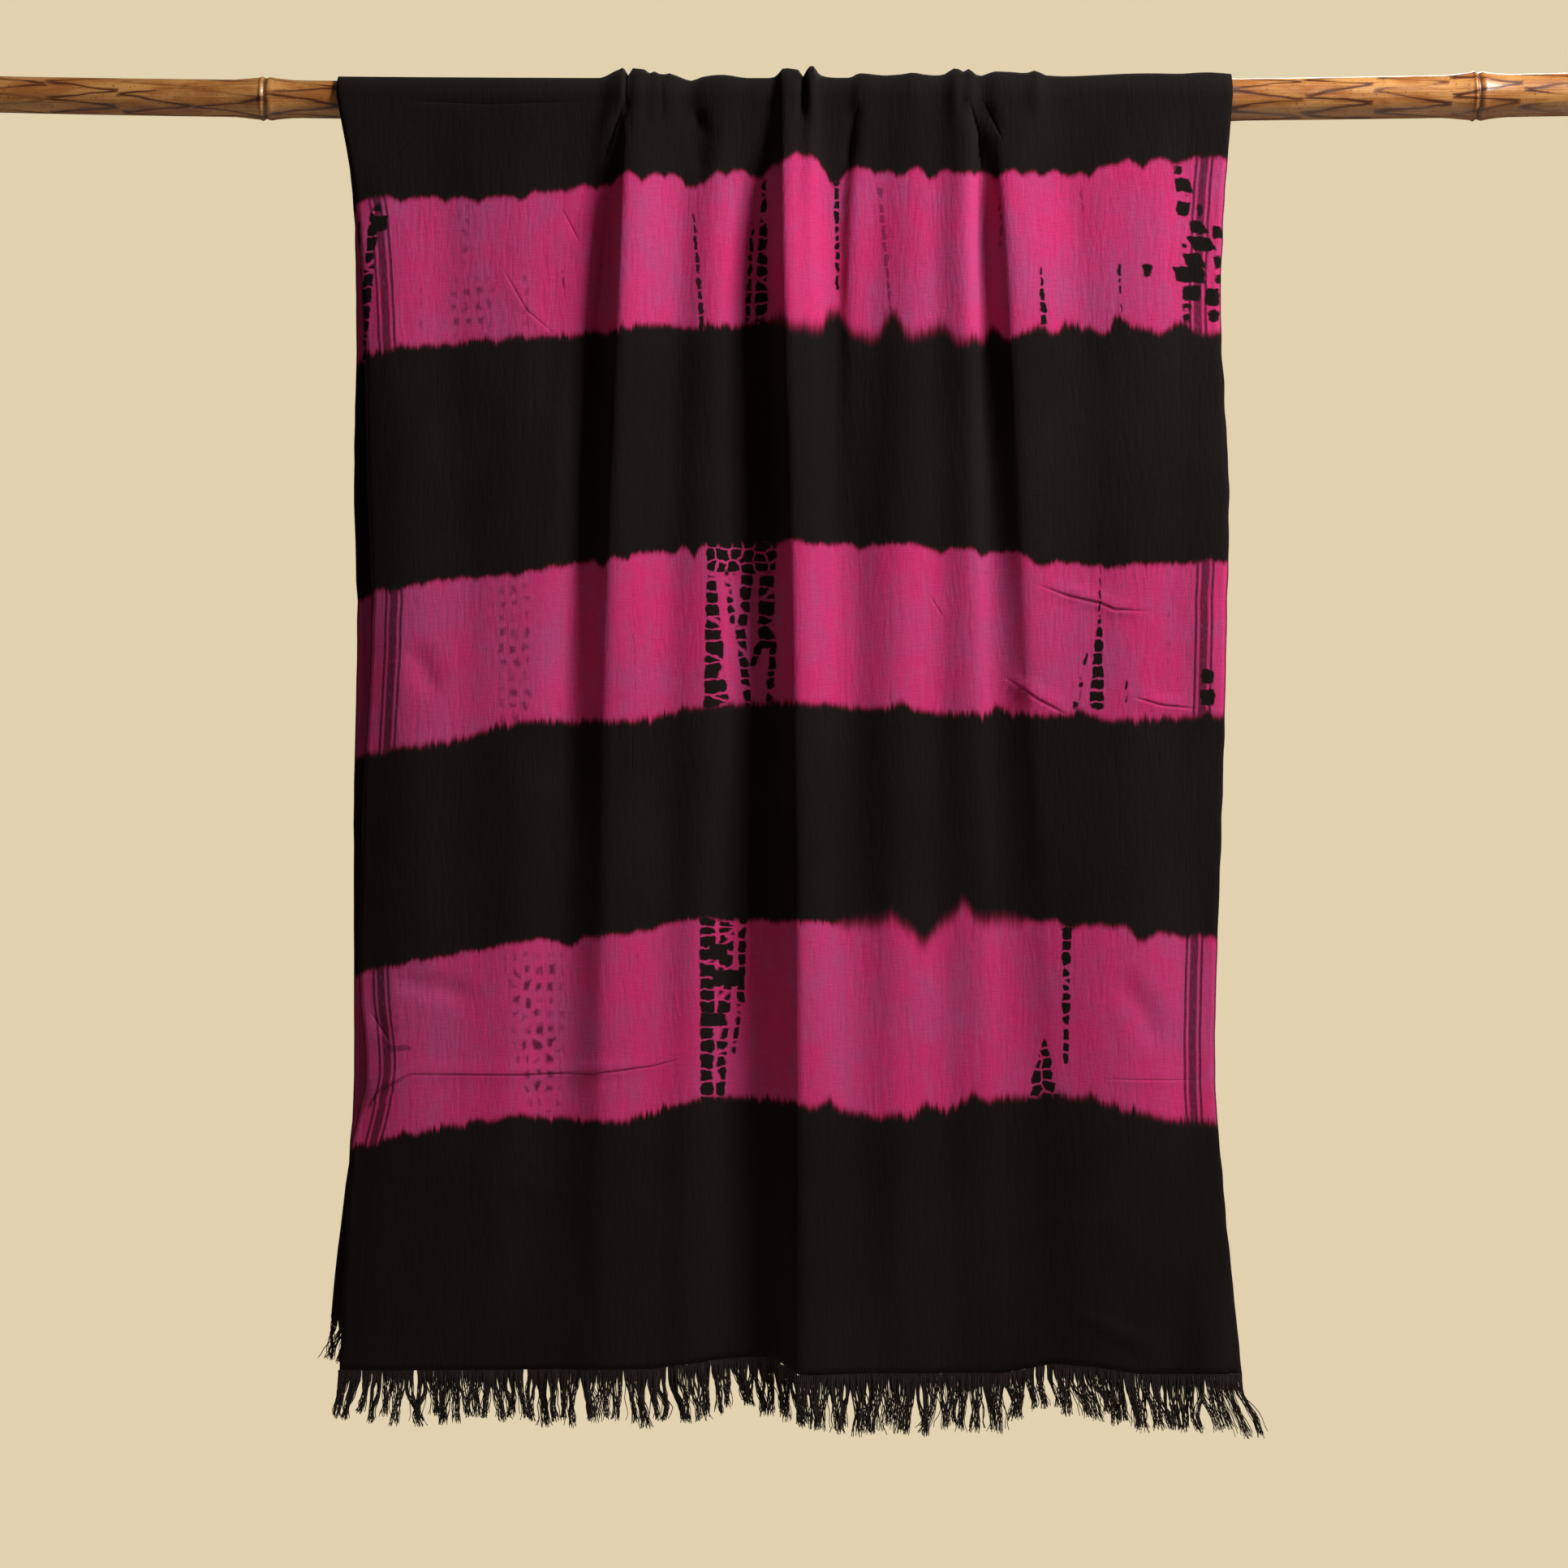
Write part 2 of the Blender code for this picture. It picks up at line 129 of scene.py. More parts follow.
# A row for each fold. left and right are the widths of its two flanks, at the rod and
# at the hem. x and out are its place and how far it stands off the drop, at each of
# the heights in FOLD_DOWN. edge is the flank that meets the fold's line in a sharp edge.
FOLD_DOWN = (0.00, 0.14, 0.50, 0.86, 1.18)
Fold = namedtuple("Fold", "name edge left right x out")
FOLDS = (
    Fold("left selvedge turn", "none", (0.045, 0.055), (0.060, 0.085),
         (-0.392, -0.366, -0.350, -0.352, -0.372), (0.000, 0.006, 0.011, 0.009, 0.004)),
    Fold("left panel billow", "none", (0.110, 0.130), (0.060, 0.090),
         (-0.260, -0.250, -0.252, -0.262, -0.280), (0.000, 0.005, 0.010, 0.010, 0.004)),
    Fold("left pinch", "right", (0.022, 0.090), (0.006, 0.014),
         (-0.149, -0.169, -0.200, -0.214, -0.224), (0.008, 0.006, 0.002, 0.000, 0.000)),
    Fold("left gather", "left", (0.009, 0.080), (0.060, 0.080),
         (-0.143, -0.150, -0.163, -0.168, -0.175), (0.009, 0.022, 0.017, 0.012, 0.006)),
    Fold("left gather valley", "none", (0.030, 0.060), (0.014, 0.050),
         (-0.160, -0.165, -0.185, -0.202, -0.214), (0.000, -0.010, -0.006, -0.005, -0.002)),
    Fold("small bump by the rod", "none", (0.030, 0.040), (0.026, 0.040),
         (-0.058, -0.068, -0.076, -0.080, -0.080), (0.003, 0.005, 0.004, 0.003, 0.002)),
    Fold("middle pleat valley", "none", (0.040, 0.070), (0.012, 0.040),
         (-0.014, -0.019, -0.014, -0.034, -0.036), (0.000, -0.010, -0.011, -0.012, -0.009)),
    Fold("middle pleat", "left", (0.010, 0.046), (0.050, 0.085),
         (-0.001, -0.001, 0.009, 0.013, 0.014), (0.009, 0.024, 0.024, 0.025, 0.018)),
    Fold("middle pinch", "left", (0.006, 0.010), (0.014, 0.030),
         (0.023, 0.022, 0.024, 0.026, 0.026), (0.005, 0.002, 0.000, 0.000, 0.000)),
    Fold("short crease", "left", (0.008, 0.014), (0.030, 0.040),
         (0.068, 0.060, 0.056, 0.056, 0.056), (0.004, 0.006, 0.001, 0.000, 0.000)),
    Fold("centre right billow", "none", (0.055, 0.060), (0.045, 0.060),
         (0.118, 0.120, 0.102, 0.100, 0.104), (0.003, 0.008, 0.012, 0.010, 0.005)),
    Fold("right pinch", "none", (0.030, 0.050), (0.014, 0.030),
         (0.168, 0.166, 0.172, 0.180, 0.190), (0.008, 0.011, 0.006, 0.003, 0.001)),
    Fold("right gather valley", "none", (0.014, 0.040), (0.014, 0.040),
         (0.184, 0.187, 0.204, 0.222, 0.240), (0.000, -0.005, -0.003, -0.002, 0.000)),
    Fold("right gather", "left", (0.018, 0.060), (0.070, 0.090),
         (0.193, 0.204, 0.222, 0.244, 0.262), (0.005, 0.014, 0.010, 0.005, 0.002)),
    Fold("right panel billow", "none", (0.075, 0.095), (0.080, 0.090),
         (0.330, 0.322, 0.322, 0.318, 0.332), (0.002, 0.005, 0.009, 0.012, 0.005)),
    Fold("right selvedge turn", "none", (0.050, 0.050), (0.040, 0.040),
         (0.395, 0.390, 0.394, 0.386, 0.398), (0.000, -0.004, 0.004, -0.004, 0.006)),
)
# How hollow a sharp flank is, and how the back drop's folds differ from the front's.
SHARP_FLANK = 1.6
BACK_FOLD_DEPTH = 0.72
BACK_FOLD_SHIFT = -0.012
# How far the selvedges waver, and how far in from them that is felt.
SELVEDGE_WAVER = 0.0010
SELVEDGE_REACH = 0.03

# The hem's rise above its lowest line, a row for each place along the front hem.
Rise = namedtuple("Rise", "x up")
HEM_RISES = (
    Rise(-0.408, 0.003), Rise(-0.120, 0.004), Rise(-0.060, 0.012), Rise(-0.010, 0.015),
    Rise(0.014, 0.001), Rise(0.200, 0.000), Rise(0.247, 0.009), Rise(0.287, 0.006),
    Rise(0.326, 0.000), Rise(0.420, 0.001),
)
BACK_HEM_RISE = 0.012

# Small puckers beside the rod: place, half width, how far out, and how far down each
# reaches before it has gone.
Pucker = namedtuple("Pucker", "name x half out reach")
PUCKERS = (
    Pucker("left gather notch", -0.1435, 0.0030, -0.0060, 0.050),
    Pucker("left gather second notch", -0.1250, 0.0045, -0.0028, 0.045),
    Pucker("left gather third notch", -0.1130, 0.0040, -0.0022, 0.035),
    Pucker("left gather end lump", -0.1040, 0.0060, 0.0018, 0.040),
    Pucker("left centre dip", -0.0860, 0.0120, -0.0026, 0.050),
    Pucker("middle notch", 0.0185, 0.0035, -0.0060, 0.035),
    Pucker("middle lump", 0.0270, 0.0055, 0.0030, 0.040),
    Pucker("right notch", 0.1670, 0.0032, -0.0050, 0.040),
    Pucker("right lump", 0.1560, 0.0070, 0.0024, 0.040),
    Pucker("right small lump", 0.2320, 0.0100, 0.0034, 0.024),
    Pucker("right end lump", 0.1190, 0.0120, 0.0014, 0.030),
)

# Creases pressed or pulled into the front drop: the line that each follows as pairs of
# x and distance below the rod's axis, its half width, and how far out it stands.
Crease = namedtuple("Crease", "name line half out")
CREASES = (
    Crease("upper right pull", ((0.224, 0.445), (0.260, 0.458), (0.290, 0.465), (0.302, 0.4705),
           (0.345, 0.4725)), 0.0060, 0.0034),
    Crease("lower right pull", ((0.200, 0.530), (0.232, 0.553), (0.262, 0.568)), 0.0065, 0.0034),
    Crease("right selvedge pull", ((0.318, 0.550), (0.345, 0.558), (0.380, 0.561)), 0.0050, 0.0028),
    Crease("pressed line", ((-0.372, 0.912), (-0.343, 0.896), (-0.241, 0.897), (-0.172, 0.895),
           (-0.120, 0.889), (-0.078, 0.878)), 0.0046, 0.0030),
    Crease("pressed line at the right", ((0.286, 0.900), (0.388, 0.902)), 0.0045, 0.0009),
    Crease("selvedge turn", ((-0.343, 0.897), (-0.374, 0.912), (-0.384, 0.932)), 0.0080, 0.0040),
    Crease("selvedge crease", ((-0.380, 0.838), (-0.360, 0.868)), 0.0050, -0.0024),
    Crease("hem pull", ((0.253, 1.118), (0.300, 1.134), (0.352, 1.148)), 0.0120, 0.0030),
    Crease("second hem pull", ((0.180, 1.046), (0.330, 1.032)), 0.0130, 0.0014),
    Crease("trough by the rod", ((-0.360, 0.002), (-0.270, 0.006), (-0.180, 0.003)),
           0.0060, -0.0012),
    Crease("thin upright crease", ((-0.139, 0.575), (-0.139, 0.626)), 0.0022, 0.0012),
    Crease("left panel hollow", ((-0.342, 0.500), (-0.330, 0.528), (-0.315, 0.556)),
           0.0200, -0.0040),
    Crease("left panel second hollow", ((-0.365, 0.812), (-0.322, 0.818), (-0.275, 0.828)),
           0.0190, -0.0040),
    Crease("left corner crease", ((-0.380, 0.078), (-0.332, 0.026)), 0.0060, 0.0010),
    Crease("left centre hollow", ((-0.085, 0.004), (-0.070, 0.034), (-0.078, 0.100)),
           0.0120, -0.0030),
    Crease("left band crease", ((-0.262, 0.150), (-0.236, 0.196), (-0.205, 0.222)),
           0.0050, 0.0010),
    Crease("left band second crease", ((-0.205, 0.100), (-0.186, 0.136)), 0.0050, -0.0010),
    Crease("right panel hollow", ((0.300, 0.800), (0.332, 0.842), (0.345, 0.880)),
           0.0230, -0.0036),
    Crease("centre pull", ((0.132, 0.455), (0.148, 0.480)), 0.0040, 0.0009),
    Crease("lower left pull", ((-0.290, 0.985), (-0.215, 1.010), (-0.120, 1.016)),
           0.0100, 0.0016),
    Crease("black band pull", ((0.010, 0.262), (0.030, 0.240)), 0.0050, 0.0014),
    Crease("left gather pleat", ((-0.146, 0.002), (-0.156, 0.030), (-0.168, 0.066)),
           0.0060, -0.0050),
    Crease("left centre pleat", ((-0.077, 0.002), (-0.079, 0.036), (-0.082, 0.082)),
           0.0120, -0.0040),
    Crease("short crease pleat", ((0.0685, 0.002), (0.0635, 0.028), (0.0590, 0.080)),
           0.0050, -0.0050),
    Crease("right gather pleat", ((0.169, 0.002), (0.178, 0.032), (0.182, 0.074)),
           0.0070, -0.0050),
    Crease("right gather second pleat", ((0.182, 0.002), (0.190, 0.018), (0.201, 0.042)),
           0.0060, -0.0034),
)
CREASE_SHARP = 1.7
# The mesh carries each crease no narrower than this. Along the middle of the narrower ones the
# material sinks a thin trough: its depth as a share of how far the crease stands out, and its half
# width as a share of the crease's own. The material also paints shade into the pink along these
# troughs, darkening it toward crimson.
CREASE_SOFT_HALF = 0.009
CREST_SHARE = 0.65
CREST_WIDTH = 0.5

# The three dyed bands: how far below the rod's axis each of their edges lies, a row for
# each place across the cloth.
BandRow = namedtuple("BandRow", "x top_1 bottom_1 top_2 bottom_2 top_3 bottom_3")
BAND_ROWS = (
    BandRow(-0.400, 0.093, 0.241, 0.455, 0.608, 0.806, 0.967),
    BandRow(-0.350, 0.090, 0.232, 0.448, 0.600, 0.793, 0.953),
    BandRow(-0.300, 0.090, 0.227, 0.441, 0.592, 0.785, 0.944),
    BandRow(-0.240, 0.088, 0.222, 0.436, 0.575, 0.774, 0.936),
    BandRow(-0.180, 0.078, 0.218, 0.424, 0.574, 0.769, 0.940),
    BandRow(-0.130, 0.068, 0.213, 0.417, 0.572, 0.763, 0.936),
    BandRow(-0.080, 0.070, 0.211, 0.410, 0.561, 0.753, 0.921),
    BandRow(-0.030, 0.062, 0.211, 0.408, 0.557, 0.755, 0.920),
    BandRow(0.010, 0.053, 0.213, 0.407, 0.557, 0.754, 0.923),
    BandRow(0.060, 0.061, 0.221, 0.409, 0.561, 0.756, 0.932),
    BandRow(0.110, 0.063, 0.222, 0.410, 0.564, 0.753, 0.937),
    BandRow(0.160, 0.065, 0.225, 0.413, 0.567, 0.752, 0.925),
    BandRow(0.210, 0.066, 0.224, 0.418, 0.567, 0.752, 0.920),
    BandRow(0.260, 0.066, 0.222, 0.427, 0.570, 0.755, 0.918),
    BandRow(0.310, 0.058, 0.219, 0.428, 0.573, 0.759, 0.928),
    BandRow(0.350, 0.055, 0.218, 0.427, 0.571, 0.767, 0.939),
    BandRow(0.405, 0.053, 0.217, 0.425, 0.571, 0.768, 0.942),
)

# How one edge of a band looks along part of the cloth: how deep its scallops are, and
# how far the dye bled. band counts from the top.
EdgeFeel = namedtuple("EdgeFeel", "edge band left right scallop feather")
EDGE_FEELS = (
    EdgeFeel("top", 1, -0.45, -0.18, 0.55, 0.0022),
    EdgeFeel("top", 1, -0.18, 0.34, 1.00, 0.0024),
    EdgeFeel("top", 1, 0.34, 0.45, 0.40, 0.0020),
    EdgeFeel("top", 2, -0.45, 0.45, 0.12, 0.0022),
    EdgeFeel("top", 3, -0.45, 0.05, 0.15, 0.0022),
    EdgeFeel("top", 3, 0.05, 0.22, 0.30, 0.0085),
    EdgeFeel("top", 3, 0.22, 0.45, 0.45, 0.0030),
    EdgeFeel("bottom", 1, -0.45, -0.01, 0.25, 0.0028),
    EdgeFeel("bottom", 1, -0.01, 0.19, 0.90, 0.0080),
    EdgeFeel("bottom", 1, 0.19, 0.45, 0.70, 0.0034),
    EdgeFeel("bottom", 2, -0.45, 0.45, 0.15, 0.0032),
    EdgeFeel("bottom", 3, -0.45, 0.02, 0.20, 0.0028),
    EdgeFeel("bottom", 3, 0.02, 0.45, 0.35, 0.0042),
)
FEEL_BLEND = 0.02
# A point deeper inside a band than this keeps this gap, so that the gaps stay even
# between the points of the mesh.
DEEPEST_GAP = 0.04

# The uneven edges of the bands, in metres: how many scallops in a metre and how deep, the
# soft lumps, and the small jags of the top and the bottom edges. A scalloped stretch of
# a top edge has calmer jags.
DOMES_A_METRE = 46.0
DOME_DEPTH = 0.018
LUMP_DEPTH = 0.009
TOP_JAGS = 0.0064
TOP_JAGS_CALMED = -0.0042
LOW_JAGS = (0.006, 0.018)

# Black tongues that reach into a band from one of its edges: place, half width and
# depth. A negative depth lets the pink out past the edge.
Tongue = namedtuple("Tongue", "edge band x half deep")
TONGUES = (
    Tongue("top", 1, -0.158, 0.010, 0.008), Tongue("top", 1, -0.128, 0.014, 0.009),
    Tongue("top", 1, -0.082, 0.022, 0.012), Tongue("top", 1, -0.022, 0.016, 0.015),
    Tongue("top", 1, 0.048, 0.020, 0.016), Tongue("top", 1, 0.085, 0.014, 0.008),
    Tongue("top", 1, 0.113, 0.012, 0.006), Tongue("top", 1, 0.138, 0.012, 0.007),
    Tongue("top", 1, 0.164, 0.013, 0.007), Tongue("top", 1, 0.195, 0.014, 0.006),
    Tongue("top", 1, 0.235, 0.012, 0.004), Tongue("top", 1, 0.263, 0.014, 0.005),
    Tongue("top", 1, 0.358, 0.012, 0.007), Tongue("bottom", 1, -0.020, 0.024, 0.008),
    Tongue("bottom", 1, 0.050, 0.017, 0.019), Tongue("bottom", 1, 0.098, 0.016, 0.020),
    Tongue("bottom", 1, 0.145, 0.012, 0.018), Tongue("bottom", 1, 0.192, 0.010, 0.012),
    Tongue("bottom", 1, 0.232, 0.018, 0.014), Tongue("bottom", 1, 0.262, 0.018, 0.014),
    Tongue("bottom", 1, 0.309, 0.020, 0.020), Tongue("bottom", 1, 0.361, 0.014, 0.013),
    Tongue("top", 2, -0.357, 0.014, 0.005), Tongue("top", 2, -0.166, 0.010, 0.009),
    Tongue("top", 2, -0.144, 0.012, 0.006), Tongue("top", 2, -0.103, 0.010, 0.009),
    Tongue("top", 2, -0.082, 0.010, 0.010), Tongue("top", 2, 0.070, 0.010, 0.008),
    Tongue("top", 2, 0.144, 0.010, 0.008), Tongue("top", 2, 0.181, 0.010, 0.006),
    Tongue("top", 2, 0.234, 0.018, 0.008), Tongue("top", 2, 0.300, 0.014, 0.005),
    Tongue("bottom", 2, -0.262, 0.014, 0.006), Tongue("bottom", 2, 0.108, 0.016, 0.008),
    Tongue("bottom", 2, 0.197, 0.014, 0.008), Tongue("bottom", 2, 0.271, 0.018, 0.008),
    Tongue("bottom", 2, 0.386, 0.010, 0.009), Tongue("top", 3, -0.196, 0.016, 0.009),
    Tongue("top", 3, 0.100, 0.012, -0.008), Tongue("top", 3, 0.127, 0.024, 0.024),
    Tongue("top", 3, 0.165, 0.014, -0.018), Tongue("top", 3, 0.262, 0.014, 0.008),
    Tongue("top", 3, 0.326, 0.014, 0.010), Tongue("bottom", 3, -0.150, 0.014, -0.004),
    Tongue("bottom", 3, 0.040, 0.014, 0.006), Tongue("bottom", 3, 0.128, 0.012, 0.010),
    Tongue("bottom", 3, 0.174, 0.014, 0.007), Tongue("bottom", 3, 0.146, 0.008, -0.006),
)
TONGUE_SHARP = 1.5

# Marks that the stitching left in the pink: the kind, the ends of the mark's line as x
# and distance below the rod's axis, its half width at each end, and how dark it took.
# A ladder is a column of black cells, a net is a field of them, a blot is one cell, and
# a ghost is a faint print of a net.
Mark = namedtuple("Mark", "kind x0 down0 x1 down1 half0 half1 dark")
MARKS = (
    Mark("ladder", -0.374, 0.096, -0.389, 0.242, 0.0058, 0.0052, 1.0),
    Mark("blot", -0.372, 0.108, -0.371, 0.124, 0.0105, 0.0080, 1.0),
    Mark("blot", -0.393, 0.112, -0.391, 0.142, 0.0046, 0.0040, 1.0),
    Mark("ghost", -0.291, 0.094, -0.291, 0.160, 0.0140, 0.0130, 0.90),
    Mark("ghost", -0.285, 0.160, -0.288, 0.224, 0.0260, 0.0250, 0.85),
    Mark("ghost", -0.333, 0.160, -0.333, 0.226, 0.0065, 0.0065, 1.0),
    Mark("ghost", -0.240, 0.128, -0.240, 0.222, 0.0090, 0.0120, 0.90),
    Mark("ghost", -0.168, 0.135, -0.170, 0.190, 0.0060, 0.0060, 1.0),
    Mark("ladder", -0.203, 0.158, -0.202, 0.184, 0.0016, 0.0016, 0.7),
    Mark("ladder", -0.083, 0.106, -0.075, 0.214, 0.0018, 0.0036, 0.95),
    Mark("ladder", -0.018, 0.070, -0.021, 0.206, 0.0030, 0.0075, 1.0),
    Mark("ladder", -0.029, 0.112, -0.034, 0.206, 0.0022, 0.0032, 1.0),
    Mark("ladder", 0.048, 0.076, 0.049, 0.180, 0.0034, 0.0024, 1.0),
    Mark("ladder", 0.087, 0.078, 0.098, 0.198, 0.0036, 0.0020, 0.50),
    Mark("ladder", 0.198, 0.092, 0.199, 0.140, 0.0020, 0.0020, 0.45),
    Mark("ladder", 0.235, 0.153, 0.238, 0.210, 0.0016, 0.0044, 1.0),
    Mark("ladder", 0.272, 0.082, 0.275, 0.112, 0.0018, 0.0018, 0.45),
    Mark("ladder", 0.307, 0.146, 0.309, 0.206, 0.0028, 0.0018, 1.0),
    Mark("blot", 0.333, 0.152, 0.333, 0.166, 0.0060, 0.0040, 1.0),
    Mark("blot", 0.361, 0.062, 0.361, 0.071, 0.0056, 0.0056, 1.0),
    Mark("blot", 0.364, 0.073, 0.368, 0.088, 0.0080, 0.0084, 1.0),
    Mark("blot", 0.371, 0.0885, 0.372, 0.0935, 0.0056, 0.0056, 1.0),
    Mark("blot", 0.367, 0.0945, 0.366, 0.110, 0.0082, 0.0064, 1.0),
    Mark("blot", 0.381, 0.096, 0.382, 0.110, 0.0038, 0.0040, 0.9),
    Mark("blot", 0.377, 0.1125, 0.383, 0.126, 0.0072, 0.0096, 1.0),
    Mark("blot", 0.397, 0.116, 0.398, 0.130, 0.0050, 0.0062, 1.0),
    Mark("blot", 0.379, 0.1265, 0.388, 0.142, 0.0120, 0.0115, 1.0),
    Mark("blot", 0.366, 0.133, 0.368, 0.140, 0.0036, 0.0040, 1.0),
    Mark("blot", 0.373, 0.1415, 0.380, 0.158, 0.0092, 0.0096, 1.0),
    Mark("blot", 0.398, 0.145, 0.399, 0.158, 0.0046, 0.0050, 1.0),
    Mark("blot", 0.370, 0.154, 0.374, 0.171, 0.0150, 0.0150, 1.0),
    Mark("blot", 0.399, 0.161, 0.399, 0.171, 0.0046, 0.0046, 1.0),
    Mark("blot", 0.374, 0.172, 0.374, 0.188, 0.0100, 0.0090, 1.0),
    Mark("blot", 0.393, 0.174, 0.393, 0.192, 0.0076, 0.0078, 1.0),
    Mark("blot", 0.369, 0.1885, 0.370, 0.197, 0.0058, 0.0058, 1.0),
    Mark("blot", 0.369, 0.198, 0.370, 0.208, 0.0054, 0.0046, 1.0),
    Mark("blot", 0.394, 0.194, 0.394, 0.207, 0.0066, 0.0056, 1.0),
    Mark("ghost", -0.250, 0.440, -0.245, 0.582, 0.0240, 0.0210, 0.80),
    Mark("ladder", -0.138, 0.450, -0.136, 0.552, 0.0014, 0.0014, 0.30),
    Mark("net", -0.039, 0.404, -0.039, 0.438, 0.0340, 0.0330, 1.0),
    Mark("ladder", -0.067, 0.438, -0.062, 0.562, 0.0048, 0.0125, 1.0),
    Mark("ladder", -0.053, 0.432, -0.047, 0.484, 0.0036, 0.0038, 1.0),
    Mark("ladder", -0.034, 0.434, -0.038, 0.486, 0.0070, 0.0050, 1.0),
    Mark("ladder", -0.016, 0.434, -0.016, 0.506, 0.0078, 0.0090, 1.0),
    Mark("ladder", -0.041, 0.484, -0.033, 0.560, 0.0058, 0.0042, 1.0),
    Mark("ladder", -0.020, 0.498, -0.031, 0.524, 0.0048, 0.0038, 1.0),
    Mark("ladder", -0.009, 0.490, -0.013, 0.560, 0.0034, 0.0048, 1.0),
    Mark("ladder", 0.290, 0.426, 0.289, 0.478, 0.0011, 0.0020, 1.0),
    Mark("ladder", 0.289, 0.478, 0.286, 0.562, 0.0030, 0.0080, 1.0),
    Mark("ladder", 0.278, 0.506, 0.267, 0.562, 0.0018, 0.0046, 1.0),
    Mark("ladder", 0.313, 0.520, 0.314, 0.560, 0.0020, 0.0022, 1.0),
    Mark("ghost", 0.355, 0.440, 0.349, 0.558, 0.0080, 0.0050, 0.65),
    Mark("ghost", 0.322, 0.432, 0.322, 0.510, 0.0060, 0.0060, 0.35),
    Mark("blot", 0.388, 0.524, 0.388, 0.539, 0.0062, 0.0068, 1.0),
    Mark("blot", 0.388, 0.542, 0.388, 0.559, 0.0078, 0.0074, 1.0),
    Mark("ghost", -0.355, 0.815, -0.352, 0.886, 0.0080, 0.0090, 0.60),
    Mark("blot", -0.353, 0.868, -0.352, 0.876, 0.0130, 0.0110, 0.45),
    Mark("ghost", -0.270, 0.846, -0.270, 0.930, 0.0046, 0.0046, 0.80),
    Mark("ghost", -0.230, 0.778, -0.222, 0.938, 0.0330, 0.0220, 1.0),
    Mark("ladder", -0.070, 0.750, -0.071, 0.924, 0.0082, 0.0066, 1.0),
    Mark("ladder", -0.052, 0.750, -0.059, 0.924, 0.0082, 0.0046, 1.0),
    Mark("ladder", -0.038, 0.752, -0.040, 0.838, 0.0044, 0.0040, 1.0),
    Mark("ladder", -0.041, 0.838, -0.047, 0.880, 0.0036, 0.0028, 1.0),
    Mark("blot", -0.061, 0.776, -0.060, 0.793, 0.0095, 0.0090, 1.0),
    Mark("blot", -0.053, 0.800, -0.050, 0.817, 0.0150, 0.0160, 1.0),
    Mark("blot", -0.067, 0.839, -0.064, 0.853, 0.0120, 0.0115, 1.0),
    Mark("ladder", 0.259, 0.758, 0.258, 0.888, 0.0052, 0.0034, 1.0),
    Mark("net", 0.239, 0.858, 0.238, 0.926, 0.0012, 0.0180, 1.0),
)
# How near a mark a point of the cloth has to be to know of it, how far apart two marks
# have to be to share a layer, across the cloth or down it, and the gap kept by a point
# that is near no mark.
MARK_REACH = 0.0095
MARK_APART = 0.026
MARK_APART_DOWN = 0.013
FAR_OFF = -0.02

# The cells that the marks are drawn from: how many in a metre across and down, how
# irregular they are, and how many metres the texture's own distance of 1 stands for.
# A blot has no cells, so its gap is wide. WANDER and SWAY are how far walls stray.
Cells = namedtuple("Cells", "a_metre irregular gap")
NET_CELLS = Cells((84.0, 96.0, 1.0), 0.62, 0.0112)
RUNG_CELLS = Cells((22.0, 84.0, 1.0), 0.72, 0.0119)
PRINT_CELLS = Cells((92.0, 74.0, 1.0), 0.55, 0.0118)
BLOT_GAP = 0.02
WANDER = 0.0042
SWAY = 0.0046

# Stripes woven beside both selvedges: distance from the edge, half width and darkness.
Stripe = namedtuple("Stripe", "name inset half dark")
STRIPES = (
    Stripe("edge", 0.0003, 0.0010, 0.85),
    Stripe("outer thin", 0.0142, 0.0012, 0.88),
    Stripe("wide", 0.0214, 0.0036, 0.86),
    Stripe("inner thin", 0.0286, 0.0012, 0.88),
)

# The weave as it shows: how far apart its threads are across the cloth and along it.
WARP_PITCH = 0.0009
WEFT_PITCH = 0.0010

# Fringe, a row for each place along the front hem: length of the bundles, and how far
# their ends lean along the rod.
FringeRow = namedtuple("FringeRow", "x length lean")
FRONT_FRINGE_ROWS = (
    FringeRow(-0.408, 0.042, -0.010), FringeRow(-0.370, 0.045, -0.004),
    FringeRow(-0.250, 0.049, 0.002), FringeRow(-0.120, 0.050, 0.003),
    FringeRow(-0.050, 0.047, 0.004), FringeRow(-0.010, 0.050, 0.006),
    FringeRow(0.020, 0.052, 0.002), FringeRow(0.120, 0.053, -0.002),
    FringeRow(0.200, 0.051, 0.004), FringeRow(0.232, 0.040, 0.003),
    FringeRow(0.262, 0.045, 0.008), FringeRow(0.300, 0.049, 0.010),
    FringeRow(0.360, 0.052, 0.004), FringeRow(0.400, 0.054, 0.012),
    FringeRow(0.420, 0.054, 0.022),
)
BACK_FRINGE_ROWS = (
    FringeRow(-0.425, 0.040, -0.016), FringeRow(-0.390, 0.042, -0.004),
    FringeRow(-0.100, 0.044, 0.002), FringeRow(0.200, 0.045, -0.002),
    FringeRow(0.410, 0.046, 0.010),
)
# How wide a bundle of yarns is, as a share of its root, at shares of its length.
BUNDLE_WIDTHS = (
    (0.0, 1.35), (0.2, 1.20), (0.45, 0.98), (0.7, 0.76), (0.88, 0.68), (1.0, 0.92),
)
# How far the yarns start inside the hem, how far two neighbouring bundles lean together,
# how far a bundle sways, and the share of the yarns that stray from their bundle.
HEM_TUCK = 0.0030
PAIR_LEAN = 0.0042
SWING = 0.0020
STRAY_SHARE = 0.12
YARN_POINTS = 10
# How deep a bundle is, how much of its pitch along the hem its yarns start from, and how
# far they stay from the hem's two ends.
BUNDLE_DEPTH = 0.0016
ROOT_SHARE = 0.46
ROOT_INSET = 0.0005
FRONT_SEED = 21
BACK_SEED = 34

# Camera: level, square to the front drop
CAMERA_LENS = 85.0
CAMERA_SENSOR = 36.0
CAMERA_PLACE = (0.0, -3.421, -0.630)

